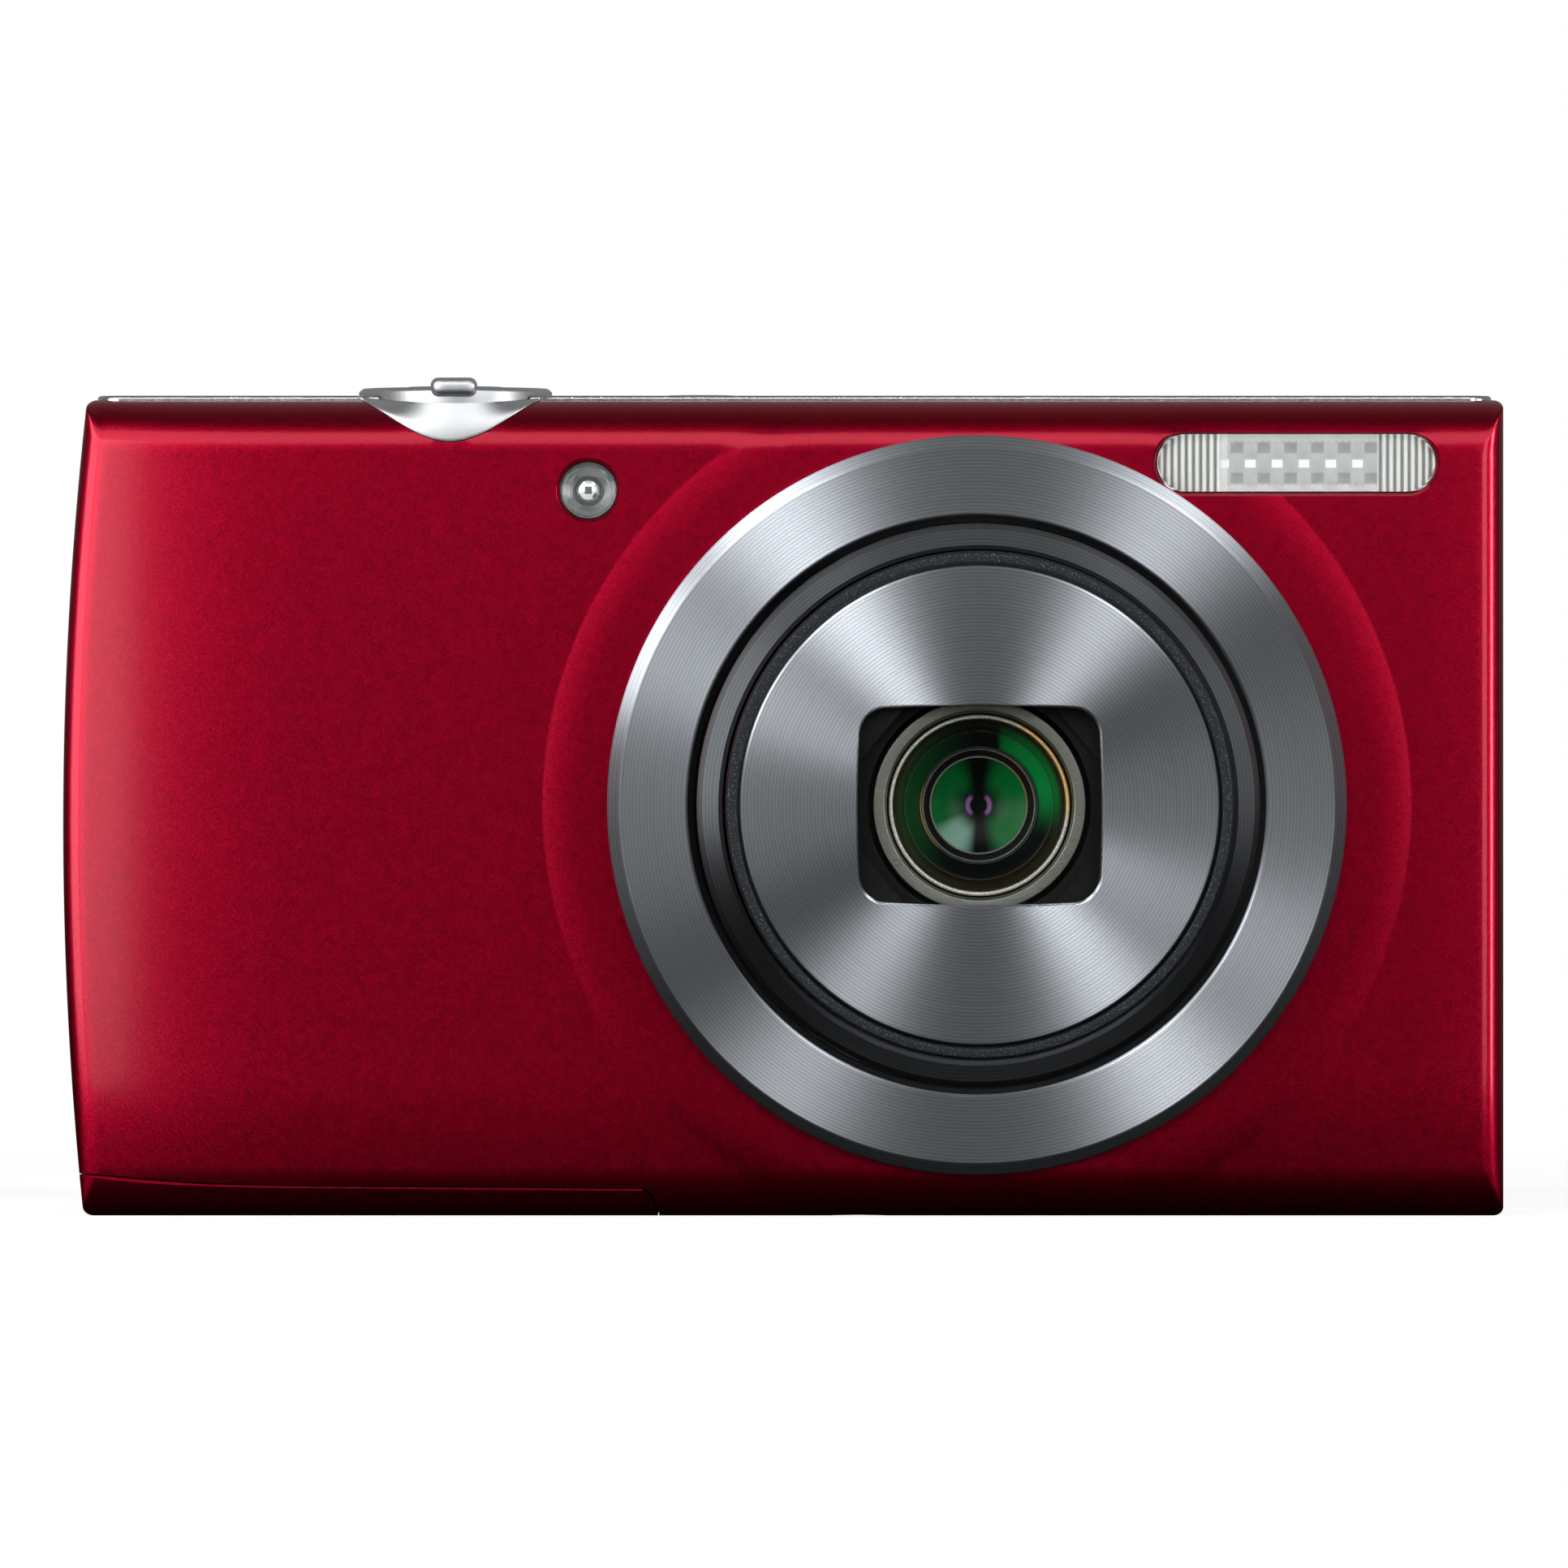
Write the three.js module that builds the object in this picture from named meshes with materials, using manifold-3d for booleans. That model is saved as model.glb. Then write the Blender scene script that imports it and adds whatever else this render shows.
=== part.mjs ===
// Compact digital camera, switched on, with its zoom lens run out and its lens barrier open.
// Millimetres. +X is the right side seen from the front, -Y is the front and +Z is up.
// The origin lies on the flat base, midway across the body.
import * as THREE from 'three';
import * as BufferGeometryUtils from 'three/addons/utils/BufferGeometryUtils.js';
import Module from 'manifold-3d';

const wasm = await Module();
wasm.setup();

// Clearances
const seamGap = 0.12;
const fitGap = 0.15;
const slideGap = 0.2;
const restGap = 0.3;

// Body shell
const bodyWidth = 95.2;
const bodyDepth = 20;
const coverTop = 53.95;
const wall = 1.2;
const cornerRadius = 0.9;
const bowRadius = 249;
const bowMiddle = 25.9;
const frontRound = { side: 1.5, top: 2.7, bottom: 3 };
const backRound = { side: 2.2, top: 1.6, bottom: 2.2 };
const rearCoverShare = 0.4;
const right = bodyWidth / 2;
const left = -right;
const front = -bodyDepth / 2;
const back = bodyDepth / 2;
const coverSeam = back - rearCoverShare * bodyDepth;
const insideFront = front + wall;
const insideBack = back - wall;

// Lens axis and the rings round it
const lensInset = 34.82;
const lensX = right - lensInset;
const lensRise = 0.185;
const lensZ = coverTop / 2 + lensRise;
const ringSteps = 40;
const middleSteps = 30;
const smallSteps = 18;
const tinySteps = 12;
const barrelToBase = 8.72;
const barrelOneRadius = lensZ - barrelToBase;
const bezelGap = 0.66;
const bezelWidth = 5.29;
const surroundLedge = 1.97;
const surroundSlope = 2.19;
const surroundRise = 0.45;
const bezelBore = barrelOneRadius + bezelGap;
const bezelRadius = bezelBore + bezelWidth;
const surroundTopRadius = bezelRadius + surroundLedge;
const surroundRadius = surroundTopRadius + surroundSlope;
const bezelHeight = 1.65;
const bezelChamfer = 0.8;
const bezelEdge = 0.2;
const bezelBack = front - surroundRise;
const bezelFront = bezelBack - bezelHeight;
const sealThickness = 0.6;
const housingRoom = 0.66;
const housingWall = 1.3;
const housingLip = 0.85;
const housingRadius = barrelOneRadius + housingRoom + housingWall;
const rearStack = 5.1;
const housingEnd = back - rearStack;
const housingFront = bezelBack + seamGap + sealThickness + seamGap;
const housingBore = housingRadius - housingWall;

// Sliding barrels
const barrelOneReach = 8.9;
const barrelOneLength = 16;
const barrelOneWall = 1;
const flangeLength = 1.5;
const mouthLip = 1;
const barrelTwoStep = 1.88;
const barrelTwoReach = 7.85;
const barrelTwoLength = 15.35;
const barrelTwoRim = 0.66;
const barrelTwoWall = 1.5;
const barrelEdge = 0.25;
const barrelTwoRadius = barrelOneRadius - barrelTwoStep;
const barrelOneFront = bezelFront - barrelOneReach;
const barrelOneBack = barrelOneFront + barrelOneLength;
const barrelTwoFront = barrelOneFront - barrelTwoReach;
const barrelTwoBack = barrelTwoFront + barrelTwoLength;

// Front trim disc and the lens barrier behind it
const trimProud = 0.15;
const trimThickness = 0.8;
const trimSide = 7.655;
const openingFlatness = 2.94;
const openingCorner = 1.62;
const openingBulge = 0.25;
const bladeThickness = 0.3;
const bladeClear = 0.4;
const bladePivotInset = 4.9;
const bladePivotRise = 1.2;
const bladeSwing = 50;
const bladeEdgeOffset = 1.05;
const pivotPinRadius = 0.45;
const barrierBaseThickness = 0.9;
const frontRingRadius = 7;
const barrierBaseBore = frontRingRadius + restGap;
const trimRadius = barrelTwoRadius - barrelTwoRim - restGap;
const openingWidth = 2 * (trimRadius - trimSide);
const openingHeight = openingWidth - openingFlatness;
const bladeRadius = barrelTwoRadius - barrelTwoRim - bladeClear;
const bladePivot = { x: bladeRadius - bladePivotInset, z: bladePivotRise };
const trimFront = barrelTwoFront - trimProud;
const trimBack = trimFront + trimThickness;
const bladeFrontLayer = trimBack + fitGap;
const bladeBackLayer = bladeFrontLayer + bladeThickness + slideGap;
const barrierBaseFront = bladeBackLayer + bladeThickness + slideGap;
const barrierBaseBack = barrierBaseFront + barrierBaseThickness;

// Optics
const frontRingLength = 5.6;
const frontRingSetBack = 0.45;
const frontRingWall = 1.25;
const frontLensRadius = frontRingRadius - frontRingWall;
const frontLensSag = 0.7;
const frontLensSetBack = 1.5;
const frontLensHollow = 0.4;
const frontRingMouth = 0.6;
const frontRingTaper = 1.2;
const holderFlange = 1;
const holderSeat = 0.6;
const apertureSetBack = 9.85;
const apertureThickness = 2;
const apertureBore = 3.2;
const middleLensRadius = 4.2;
const middleLensThickness = 2.2;
const middleLensBulge = 0.3;
const focusLensRadius = 3.4;
const focusHolderRadius = 8.6;
const focusThickness = 1;
const focusFrontBulge = 0.2;
const focusBackBulge = 0.2;
const focusSetOff = 1.15;
const guideRodRadius = 0.5;
const guideRodOffset = 7;
const guideRodReach = 1.5;
const lensBaseThickness = 1.15;
const sensorWidth = 10;
const sensorHeight = 9;
const sensorThickness = 1.1;
const lensBaseFront = housingEnd + fitGap;
const lensBaseBack = lensBaseFront + lensBaseThickness;
const focusBack = lensBaseFront - focusSetOff;
const focusFront = focusBack - focusThickness;

// Zoom drive
const gearModule = 0.8;
const ringDepth = 1.6;
const ringTeeth = Math.round((2 * (housingRadius + ringDepth)) / gearModule);
const sectorTeeth = 12;
const sectorMiddle = 14;
const pinionTeeth = 10;
const gearAddendum = 0.6;
const gearDedendum = 0.75;
const gearBacklash = 0.25;
const gearWidth = 2.5;
const gearSetBack = 1.4;
const gearFront = housingEnd - gearSetBack - gearWidth;
const motorRadius = 4.3;
const motorClear = 1.1;
const motorBearing = 44;
const motorShaftRadius = 0.75;
const motorShaftReach = 1;
const cradleWall = 0.7;
const cradleLength = 4;
const cradleSetBack = 1;
const cradleRibWidth = 2;
const ringClear = (gearModule * ringTeeth) / 2 + gearAddendum + restGap;
const gearDistance = (gearModule * (ringTeeth + pinionTeeth)) / 2;
const motorAngle = THREE.MathUtils.degToRad(-motorBearing);
const motorCentre = [lensX + gearDistance * Math.cos(motorAngle), lensZ + gearDistance * Math.sin(motorAngle)];
const motorBack = gearFront - restGap;
const motorFront = insideFront + motorClear;

// Battery, its lock and the memory card
const batteryHeadroom = 10.55;
const batteryThickness = 5.2;
const batteryCorner = 0.8;
const batteryInset = 2.9;
const batteryBottom = 3.2;
const batteryLeft = left + batteryInset;
const cageWall = 0.5;
const cageToLens = 1.83;
const batteryRight = lensX - housingRadius - cageToLens - cageWall - fitGap;
const batteryTop = coverTop - batteryHeadroom;
const batteryFront = insideFront + restGap;
const batteryBack = batteryFront + batteryThickness;
const cageBack = batteryBack + fitGap + cageWall;
const lockThrow = 1.2;
const lockWidth = 0.6;
const lockHeight = 0.8;
const lockGripHeight = 1.3;
const lockGripLength = 2;
const lockHookLength = 3.2;
const cardWidth = 24;
const cardThickness = 2.1;
const cardNick = 3;
const cardInset = 2.2;
const cardLeft = batteryLeft + cardInset;
const cardRight = cardLeft + cardWidth;
const cardHeadroom = 7.4;
const cardBottom = batteryBottom + 0.8;
const cardTop = batteryTop - cardHeadroom;
const slotWall = 0.3;
const slotLift = 4;
const slotFront = cageBack + seamGap;
const slotBack = slotFront + cardThickness + 2 * (slotWall + fitGap);

// Battery door, with its seam across the front as seen from the body's left end
const doorSeam = [[-1, 2.75], [1.6, 2.72], [9.6, 2.1], [17.3, 1.96], [38.3, 1.8], [38.9, 1.26], [39.3, 0.15]]
  .map(([fromLeft, z]) => [left + fromLeft, z]);
const doorHingeSetBack = 1.2;
const doorHingeY = coverSeam + doorHingeSetBack;
const doorHingeZ = 1.3;
const doorPinRadius = 0.5;
const doorKnuckleRadius = 1.2;
const doorKnuckleLength = 6;
const doorKnuckleSpread = 9;
const doorPinReach = 6;
const doorMiddleInset = 19.6;
const doorMiddle = left + doorMiddleInset;
const doorTongueLength = 6;
const doorTongueWidth = 8;
const doorTongueThickness = 0.4;
const doorKnuckles = [doorMiddle - doorKnuckleSpread, doorMiddle + doorKnuckleSpread];
const doorPinEnds = [doorKnuckles[0] - doorPinReach, doorKnuckles[1] + doorPinReach];

// Top plate
const plateProud = 0.3;
const plateThickness = 1.25;
const plateInset = { left: 2.2, right: 0.7, front: 2.75, back: 2 };
const plateTop = coverTop + plateProud;
const plateBottom = plateTop - plateThickness;
const topPlate = {
  left: left + plateInset.left,
  right: right - plateInset.right,
  front: front + plateInset.front,
  back: back - plateInset.back,
  corner: 1.5,
};

// Shutter release, with the zoom lever round it and the silver lip under it
const shutterInset = 25.85;
const shutterSetBack = 7;
const shutterX = left + shutterInset;
const shutterY = front + shutterSetBack;
const leverRadius = 6.41;
const leverBore = 3.6;
const leverHubRadius = 4.4;
const leverHubDepth = 2.25;
const leverSunk = 0.5;
const leverProud = 0.38;
const leverEdge = 0.3;
const leverTab = { width: 3.2, depth: 2.3, sunk: 0.11, proud: 1.15, reach: 6.6, corner: 1.1 };
const leverBottom = plateTop - leverSunk;
const leverTop = plateTop + leverProud;
const shutterRadius = 3.4;
const shutterSunk = 1.65;
const shutterSideProud = 0.2;
const shutterProud = 0.65;
const shutterTravel = 0.8;
const shutterStemRadius = 1;
const shutterStemLength = 0.3;
const shutterBottom = plateTop - shutterSunk;
const lipDrop = 2.75;
const lipCrease = 0.58;
const lipWall = 0.15;

// Power button, speaker and its sound holes
const powerSetOff = 16.25;
const powerX = shutterX + powerSetOff;
const powerY = 0.5;
const powerRadius = 2.6;
const powerProud = 0.15;
const powerEdge = 0.2;
const powerFlange = 0.6;
const powerFlangeThickness = 0.7;
const speakerInset = 23.6;
const speakerX = right - speakerInset;
const speakerY = 2.5;
const speakerRadius = 4.5;
const speakerHeight = 2.2;
const soundHoleRadius = 0.4;
const soundHolePitch = 1.5;
const soundHoles = 5;

// Front windows
const flashWidth = 18.39;
const flashHeight = 3.79;
const flashInset = 13.73;
const flashDrop = 4.2;
const flashX = right - flashInset;
const flashZ = coverTop - flashDrop;
const flashTubeRadius = 0.9;
const reflectorDepth = 4.2;
const reflectorWall = 0.5;
const reflectorRim = 0.25;
const lampSetOff = 25.65;
const lampDrop = 6;
const lampX = lensX - lampSetOff;
const lampZ = coverTop - lampDrop;
const lampRadius = 1.85;
const lampProud = 0.25;
const lampLedLength = 2.2;
const lampLedStep = 1;
const lampLedTaper = 0.6;
const reflectorFront = insideFront + seamGap;

// Rear screen and controls
const panelThickness = 2.1;
const panelMargin = 1;
const screenCorner = 1.2;
const screenThickness = 0.8;
const screenToPad = 9;
const padInset = 16.6;
const padX = left + padInset;
const padZ = 21.5;
const padRadius = 8.5;
const padWall = 0.9;
const padFlange = 0.7;
const padFlangeThickness = 0.35;
const padFloor = 0.45;
const padProud = 0.5;
const padEdge = 0.4;
const screenMargin = { right: 2.6, top: 4.45 };
const screen = {
  left: padX + padRadius + screenToPad,
  right: right - screenMargin.right,
  bottom: 5,
  top: coverTop - screenMargin.top,
};
const padPivotRadius = 5.2;
const padPivotBore = 4.3;
const padPivotThickness = 0.2;
const setRadius = 3.6;
const setProud = 0.4;
const buttonRadius = 2.5;
const buttonProud = 0.4;
const buttonEdge = 0.25;
const buttonFlange = 0.5;
const buttonFlangeThickness = 0.6;
const buttonTravelGap = 0.5;
const upperButtonRise = 16;
const buttonStep = 7;
const menuDrop = 14.7;
const rearButtons = {
  movie_button: [padX + buttonStep, padZ + upperButtonRise],
  playback_button: [padX - buttonStep, padZ + upperButtonRise],
  menu_button: [padX + buttonStep, padZ - menuDrop],
};

// Boards and frame, counted back from the lens unit
const boardThickness = 0.8;
const buttonBoardMargin = 3.5;
const mainBoardInset = 8.78;
const mainBoardRise = 2.6;
const mainBoardRight = lensX - mainBoardInset;
const mainBoardTop = batteryTop + mainBoardRise;
const chipHeight = 1.2;
const processorSize = 13;
const memoryWidth = 8;
const memoryHeight = 10;
const keySwitchSize = 5.6;
const buttonBoardThickness = 0.4;
const chassisThickness = 0.4;
const chassisMargin = { right: 2, bottom: 3, top: 4.35 };
const chassisFront = lensBaseBack + fitGap;
const chassisBack = chassisFront + chassisThickness;
const buttonBoardFront = chassisBack + seamGap;
const buttonBoardBack = buttonBoardFront + buttonBoardThickness;
const boardFront = slotBack + restGap;
const topBoardDrop = 5.2;
const topBoardReach = 2;
const topBoardClear = 1.35;
const topBoardFront = shutterY - topBoardReach;
const topBoardBack = chassisFront - topBoardClear;
const topBoardTop = plateBottom - topBoardDrop;

// Sides and base
const terminal = { front: back - 11, back: back - 3.4, bottom: 26, top: 38, thickness: 0.95 };
const connector = { depth: 8, width: 5, height: 8, bottom: 28, front: back - 9.8, wall: 0.4, mouth: 5 };
const lug = { front: coverSeam + 0.6, back: back - 2.6, bottom: 38, top: 45, wall: 0.5, bar: 0.65 };
const lugSunk = 0.85;
const lugDepth = 3.15;
const lugOuter = left + lugSunk;
const lugInner = lugOuter + lugDepth;
const socketX = 5;
const socketMargin = 1;
const socketY = (coverSeam + insideFront) / 2 + 0.4;
const socketRadius = (coverSeam - insideFront) / 2 - socketMargin;
const socketBore = 3.18;
const socketHeight = 5.2;
const socketDepth = 4.7;
const socketFlange = 0.8;
const socketPlateReach = 6.2;
const capacitorClear = 4.52;
const capacitorWidest = (connector.front - restGap - (insideFront + restGap)) / 2;
const capacitorSide = (right - wall - restGap - (lensX + housingRadius + capacitorClear)) / 2;
const capacitorRadius = Math.min(capacitorWidest, capacitorSide);
const capacitorInset = wall + restGap + capacitorRadius;
const capacitorBottom = 8;
const capacitorLength = 28;
const screwHeadRadius = 1.25;
const screwHeadThickness = 0.6;
const screwShankRadius = 0.6;
const screwLength = 3.4;
const screwSlot = 0.35;
const leftScrewSunk = 0.45;
const screws = {
  screw_base: { turn: 0, at: [22, coverSeam - 2, fitGap] },
  screw_right_side: { turn: -Math.PI / 2, at: [right - fitGap, coverSeam - 1.7, 10] },
  screw_left_side: { turn: Math.PI / 2, at: [left + leftScrewSunk, coverSeam - 1.7, 12] },
};

// Colours, with roughness and metalness
const finishes = {
  red: ['#a80a26', 0.28, 0.7],
  silver: ['#c9cbcd', 0.35, 1],
  spun: ['#9aa0a6', 0.3, 1],
  steel: ['#b4b6b8', 0.4, 1],
  brass: ['#b08d4a', 0.35, 1],
  graphite: ['#3a4044', 0.7, 0.2],
  black: ['#141416', 0.6, 0],
  rubber: ['#1c1c1e', 0.9, 0],
  glass: ['#0e3a2a', 0.05, 0],
  clear: ['#d8dcdc', 0.1, 0],
  screen: ['#0a0b0d', 0.08, 0],
  board: ['#1e5a34', 0.6, 0],
  contact: ['#c8a23c', 0.4, 1],
  label: ['#4c5056', 0.55, 0],
};

const model = new THREE.Group();

// Solids from geometry, and back again

function signedVolume(positions, index) {
  const corner = (i) => new THREE.Vector3().fromArray(positions, 3 * index[i]);
  let total = 0;
  for (let i = 0; i < index.length; i += 3) {
    total += corner(i).dot(corner(i + 1).cross(corner(i + 2))) / 6;
  }
  return total;
}

function solid(geometry) {
  const bare = geometry.clone();
  bare.deleteAttribute('normal');
  bare.deleteAttribute('uv');
  const merged = BufferGeometryUtils.mergeVertices(bare, 1e-4);
  const positions = merged.attributes.position.array;
  const kept = [];
  const all = merged.index.array;
  for (let i = 0; i < all.length; i += 3) {
    const [a, b, c] = [all[i], all[i + 1], all[i + 2]];
    if (a !== b && b !== c && c !== a) kept.push(a, b, c);
  }
  if (signedVolume(positions, kept) < 0) kept.reverse();
  const shape = { numProp: 3, vertProperties: new Float32Array(positions), triVerts: new Uint32Array(kept) };
  return new wasm.Manifold(new wasm.Mesh(shape));
}

function geometryOf(piece) {
  const shape = piece.getMesh();
  const geometry = new THREE.BufferGeometry();
  geometry.setAttribute('position', new THREE.BufferAttribute(new Float32Array(shape.vertProperties), 3));
  geometry.setIndex(new THREE.BufferAttribute(new Uint32Array(shape.triVerts), 1));
  geometry.computeVertexNormals();
  return geometry;
}

function addPiece(name, piece, finish) {
  const [color, roughness, metalness] = finishes[finish];
  const material = new THREE.MeshStandardMaterial({ color, roughness, metalness });
  const mesh = new THREE.Mesh(geometryOf(piece), material);
  mesh.name = name;
  model.add(mesh);
}

const join = (...pieces) => pieces.reduce((whole, piece) => whole.add(piece));
const cut = (piece, ...tools) => tools.reduce((rest, tool) => rest.subtract(tool), piece);

// Basic forms

function block([x0, x1], [y0, y1], [z0, z1]) {
  const geometry = new THREE.BoxGeometry(x1 - x0, y1 - y0, z1 - z0);
  geometry.translate((x0 + x1) / 2, (y0 + y1) / 2, (z0 + z1) / 2);
  return solid(geometry);
}

// A closed profile of [radius, height] points turned about an upright line, or about a line
// along X or Y, through the given point.
function turned(profile, axis, [x, y, z], steps = ringSteps) {
  const points = profile.map(([r, h]) => new THREE.Vector2(r, h));
  points.push(points[0].clone());
  const geometry = new THREE.LatheGeometry(points, steps);
  if (axis === 'z') geometry.rotateX(Math.PI / 2);
  if (axis === 'x') geometry.rotateZ(-Math.PI / 2);
  geometry.translate(x, y, z);
  return solid(geometry);
}

const disc = (radius, from, to) => [[0, from], [radius, from], [radius, to], [0, to]];
const tube = (outer, inner, from, to) => [[inner, from], [outer, from], [outer, to], [inner, to]];
const lensTurned = (profile, steps) => turned(profile, 'y', [lensX, 0, lensZ], steps);

const axisBasis = {
  x: [new THREE.Vector3(0, 1, 0), new THREE.Vector3(0, 0, 1), new THREE.Vector3(1, 0, 0)],
  y: [new THREE.Vector3(1, 0, 0), new THREE.Vector3(0, 0, 1), new THREE.Vector3(0, 1, 0)],
  z: [new THREE.Vector3(1, 0, 0), new THREE.Vector3(0, 1, 0), new THREE.Vector3(0, 0, 1)],
};

// A flat outline pulled along an axis. The outline is in YZ for x, XZ for y and XY for z.
function prism(outline, axis, from, to, curveSegments = 6) {
  const options = { depth: to - from, bevelEnabled: false, curveSegments };
  const geometry = new THREE.ExtrudeGeometry(outline, options);
  geometry.translate(0, 0, from);
  geometry.applyMatrix4(new THREE.Matrix4().makeBasis(...axisBasis[axis]));
  return solid(geometry);
}

const polygon = (points) => new THREE.Shape(points.map(([u, v]) => new THREE.Vector2(u, v)));

function roundedRectangle(u0, u1, v0, v1, radius) {
  const outline = new THREE.Shape();
  outline.absarc(u1 - radius, v0 + radius, radius, -Math.PI / 2, 0);
  outline.absarc(u1 - radius, v1 - radius, radius, 0, Math.PI / 2);
  outline.absarc(u0 + radius, v1 - radius, radius, Math.PI / 2, Math.PI);
  outline.absarc(u0 + radius, v0 + radius, radius, Math.PI, 1.5 * Math.PI);
  outline.closePath();
  return outline;
}

// Body envelope: a bowed left side, small corners and a different edge rounding on each side

const cornerSteps = 3;
const sideSteps = 6;
const roundSteps = 4;
const smallestRound = 0.3;

// Points round the front view, each with how far it belongs to a side rather than top or bottom.
function bodyOutline(inset, corner) {
  const leftAt = (z) => left + (z - bowMiddle) ** 2 / (2 * bowRadius) + inset.side;
  const low = inset.bottom;
  const high = coverTop - inset.top;
  const outline = [];
  const addCorner = (sideSign, vertical, start) => {
    for (let i = 0; i <= cornerSteps; i += 1) {
      const angle = start + (Math.PI / 2) * (i / cornerSteps);
      const z = (vertical > 0 ? high - corner : low + corner) + corner * Math.sin(angle);
      const pull = corner * (1 - Math.abs(Math.cos(angle)));
      const x = sideSign > 0 ? right - inset.side - pull : leftAt(z) + pull;
      outline.push({ x, z, sideShare: Math.cos(angle) ** 2, edge: vertical > 0 ? 'top' : 'bottom' });
    }
  };
  addCorner(1, -1, -Math.PI / 2);
  addCorner(1, 1, 0);
  addCorner(-1, 1, Math.PI / 2);
  for (let i = 1; i < sideSteps; i += 1) {
    const z = high - corner + (low + corner - (high - corner)) * (i / sideSteps);
    outline.push({ x: leftAt(z), z, sideShare: 1, edge: 'top' });
  }
  addCorner(-1, -1, Math.PI);
  return outline;
}

// The body's outer form, or the same form shrunk by an offset on every side.
function bodyForm(offset = 0) {
  const corner = Math.max(smallestRound, cornerRadius - offset);
  const positions = [];
  const addRing = (rounds, angle, face, inward) => {
    const radius = (key) => Math.max(smallestRound, rounds[key] - offset);
    const inset = {};
    for (const key of ['side', 'top', 'bottom']) {
      inset[key] = offset + radius(key) * (1 - Math.cos(angle));
    }
    for (const point of bodyOutline(inset, corner)) {
      const blend = point.sideShare * radius('side') + (1 - point.sideShare) * radius(point.edge);
      positions.push(point.x, face + inward * blend * (1 - Math.sin(angle)), point.z);
    }
  };
  for (let i = roundSteps; i >= 0; i -= 1) {
    addRing(frontRound, (Math.PI / 2) * (i / roundSteps), front + offset, 1);
  }
  for (let i = 0; i <= roundSteps; i += 1) {
    addRing(backRound, (Math.PI / 2) * (i / roundSteps), back - offset, -1);
  }
  const count = bodyOutline({ side: 0, top: 0, bottom: 0 }, corner).length;
  const rings = positions.length / 3 / count;
  const index = [];
  for (let ring = 0; ring < rings - 1; ring += 1) {
    for (let i = 0; i < count; i += 1) {
      const a = ring * count + i;
      const b = ring * count + ((i + 1) % count);
      index.push(a, a + count, b, b, a + count, b + count);
    }
  }
  const middle = coverTop / 2;
  const frontCentre = positions.length / 3;
  positions.push(0, front + offset, middle, 0, back - offset, middle);
  const lastRing = (rings - 1) * count;
  for (let i = 0; i < count; i += 1) {
    const next = (i + 1) % count;
    index.push(frontCentre, i, next, frontCentre + 1, lastRing + next, lastRing + i);
  }
  const geometry = new THREE.BufferGeometry();
  geometry.setAttribute('position', new THREE.BufferAttribute(new Float32Array(positions), 3));
  geometry.setIndex(index);
  return solid(geometry);
}

const bodyOuter = bodyForm();
const bodyShell = cut(bodyOuter, bodyForm(wall));
const far = 80;

// Raised band round the lens, which dies away where the body's top and bottom edges round off
function lensSurround() {
  const cone = lensTurned([[0, insideFront], [surroundRadius, insideFront], [surroundRadius, front],
    [surroundTopRadius, bezelBack], [0, bezelBack]]);
  return cone.intersect(bodyOuter.translate([0, -surroundRise, 0]));
}

// The silver lip under the zoom lever: a smile-shaped apron over the cover's rounded front edge

const lipSteps = 14;
const lipRows = 4;
const lipSpread = (u) => (1 + Math.cos(Math.PI * u)) / 2;
const lipLow = (u) => coverTop - lipDrop * lipSpread(u);

// How far forward the cover's rounded top edge stands at a height.
function coverFrontAt(z) {
  const rise = Math.max(0, z - (coverTop - frontRound.top));
  return front + frontRound.top - Math.sqrt(Math.max(0, frontRound.top ** 2 - rise ** 2));
}

function shutterLip() {
  const positions = [];
  const edgeRadius = leverRadius + slideGap + lipWall;
  const buried = topPlate.front + restGap;
  for (let i = 0; i <= lipSteps; i += 1) {
    const u = -1 + (2 * i) / lipSteps;
    const dx = u * leverRadius;
    const x = shutterX + dx;
    const zTop = plateTop - lipCrease * lipSpread(u);
    const zLow = lipLow(u);
    const yTop = Math.min(topPlate.front, shutterY - Math.sqrt(edgeRadius ** 2 - dx ** 2));
    const yLow = Math.min(topPlate.front, coverFrontAt(zLow));
    for (let row = 0; row <= lipRows; row += 1) {
      const t = row / lipRows;
      positions.push(x, yTop + (yLow - yTop) * t ** 1.5, zTop + (zLow - zTop) * t);
    }
    positions.push(x, buried, zLow, x, buried, zTop);
  }
  const ring = lipRows + 3;
  const index = [];
  for (let i = 0; i < lipSteps; i += 1) {
    for (let k = 0; k < ring; k += 1) {
      const a = i * ring + k;
      const b = i * ring + ((k + 1) % ring);
      index.push(a, b, a + ring, b, b + ring, a + ring);
    }
  }
  const lastRing = lipSteps * ring;
  for (let k = 1; k < ring - 1; k += 1) {
    index.push(0, k + 1, k, lastRing, lastRing + k, lastRing + k + 1);
  }
  const geometry = new THREE.BufferGeometry();
  geometry.setAttribute('position', new THREE.BufferAttribute(new Float32Array(positions), 3));
  geometry.setIndex(index);
  return solid(geometry);
}

// The notch in the front cover that takes the lip, with a seam all round.
function lipNotch() {
  const points = [];
  for (let i = 0; i <= lipSteps; i += 1) {
    const u = -1 + (2 * i) / lipSteps;
    points.push([shutterX + u * (leverRadius + seamGap), lipLow(u) - seamGap]);
  }
  points.push([shutterX + leverRadius + seamGap, coverTop + 1], [shutterX - leverRadius - seamGap, coverTop + 1]);
  return prism(polygon(points), 'y', front - 1, topPlate.front + 1);
}

function topPlateForm(grow, bottom, top) {
  const { left: x0, right: x1, front: y0, back: y1, corner } = topPlate;
  const outline = roundedRectangle(x0 - grow, x1 + grow, y0 - grow, y1 + grow, corner + grow);
  return prism(outline, 'z', bottom, top);
}

// Battery door region, which wraps from the base on to the front

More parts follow.
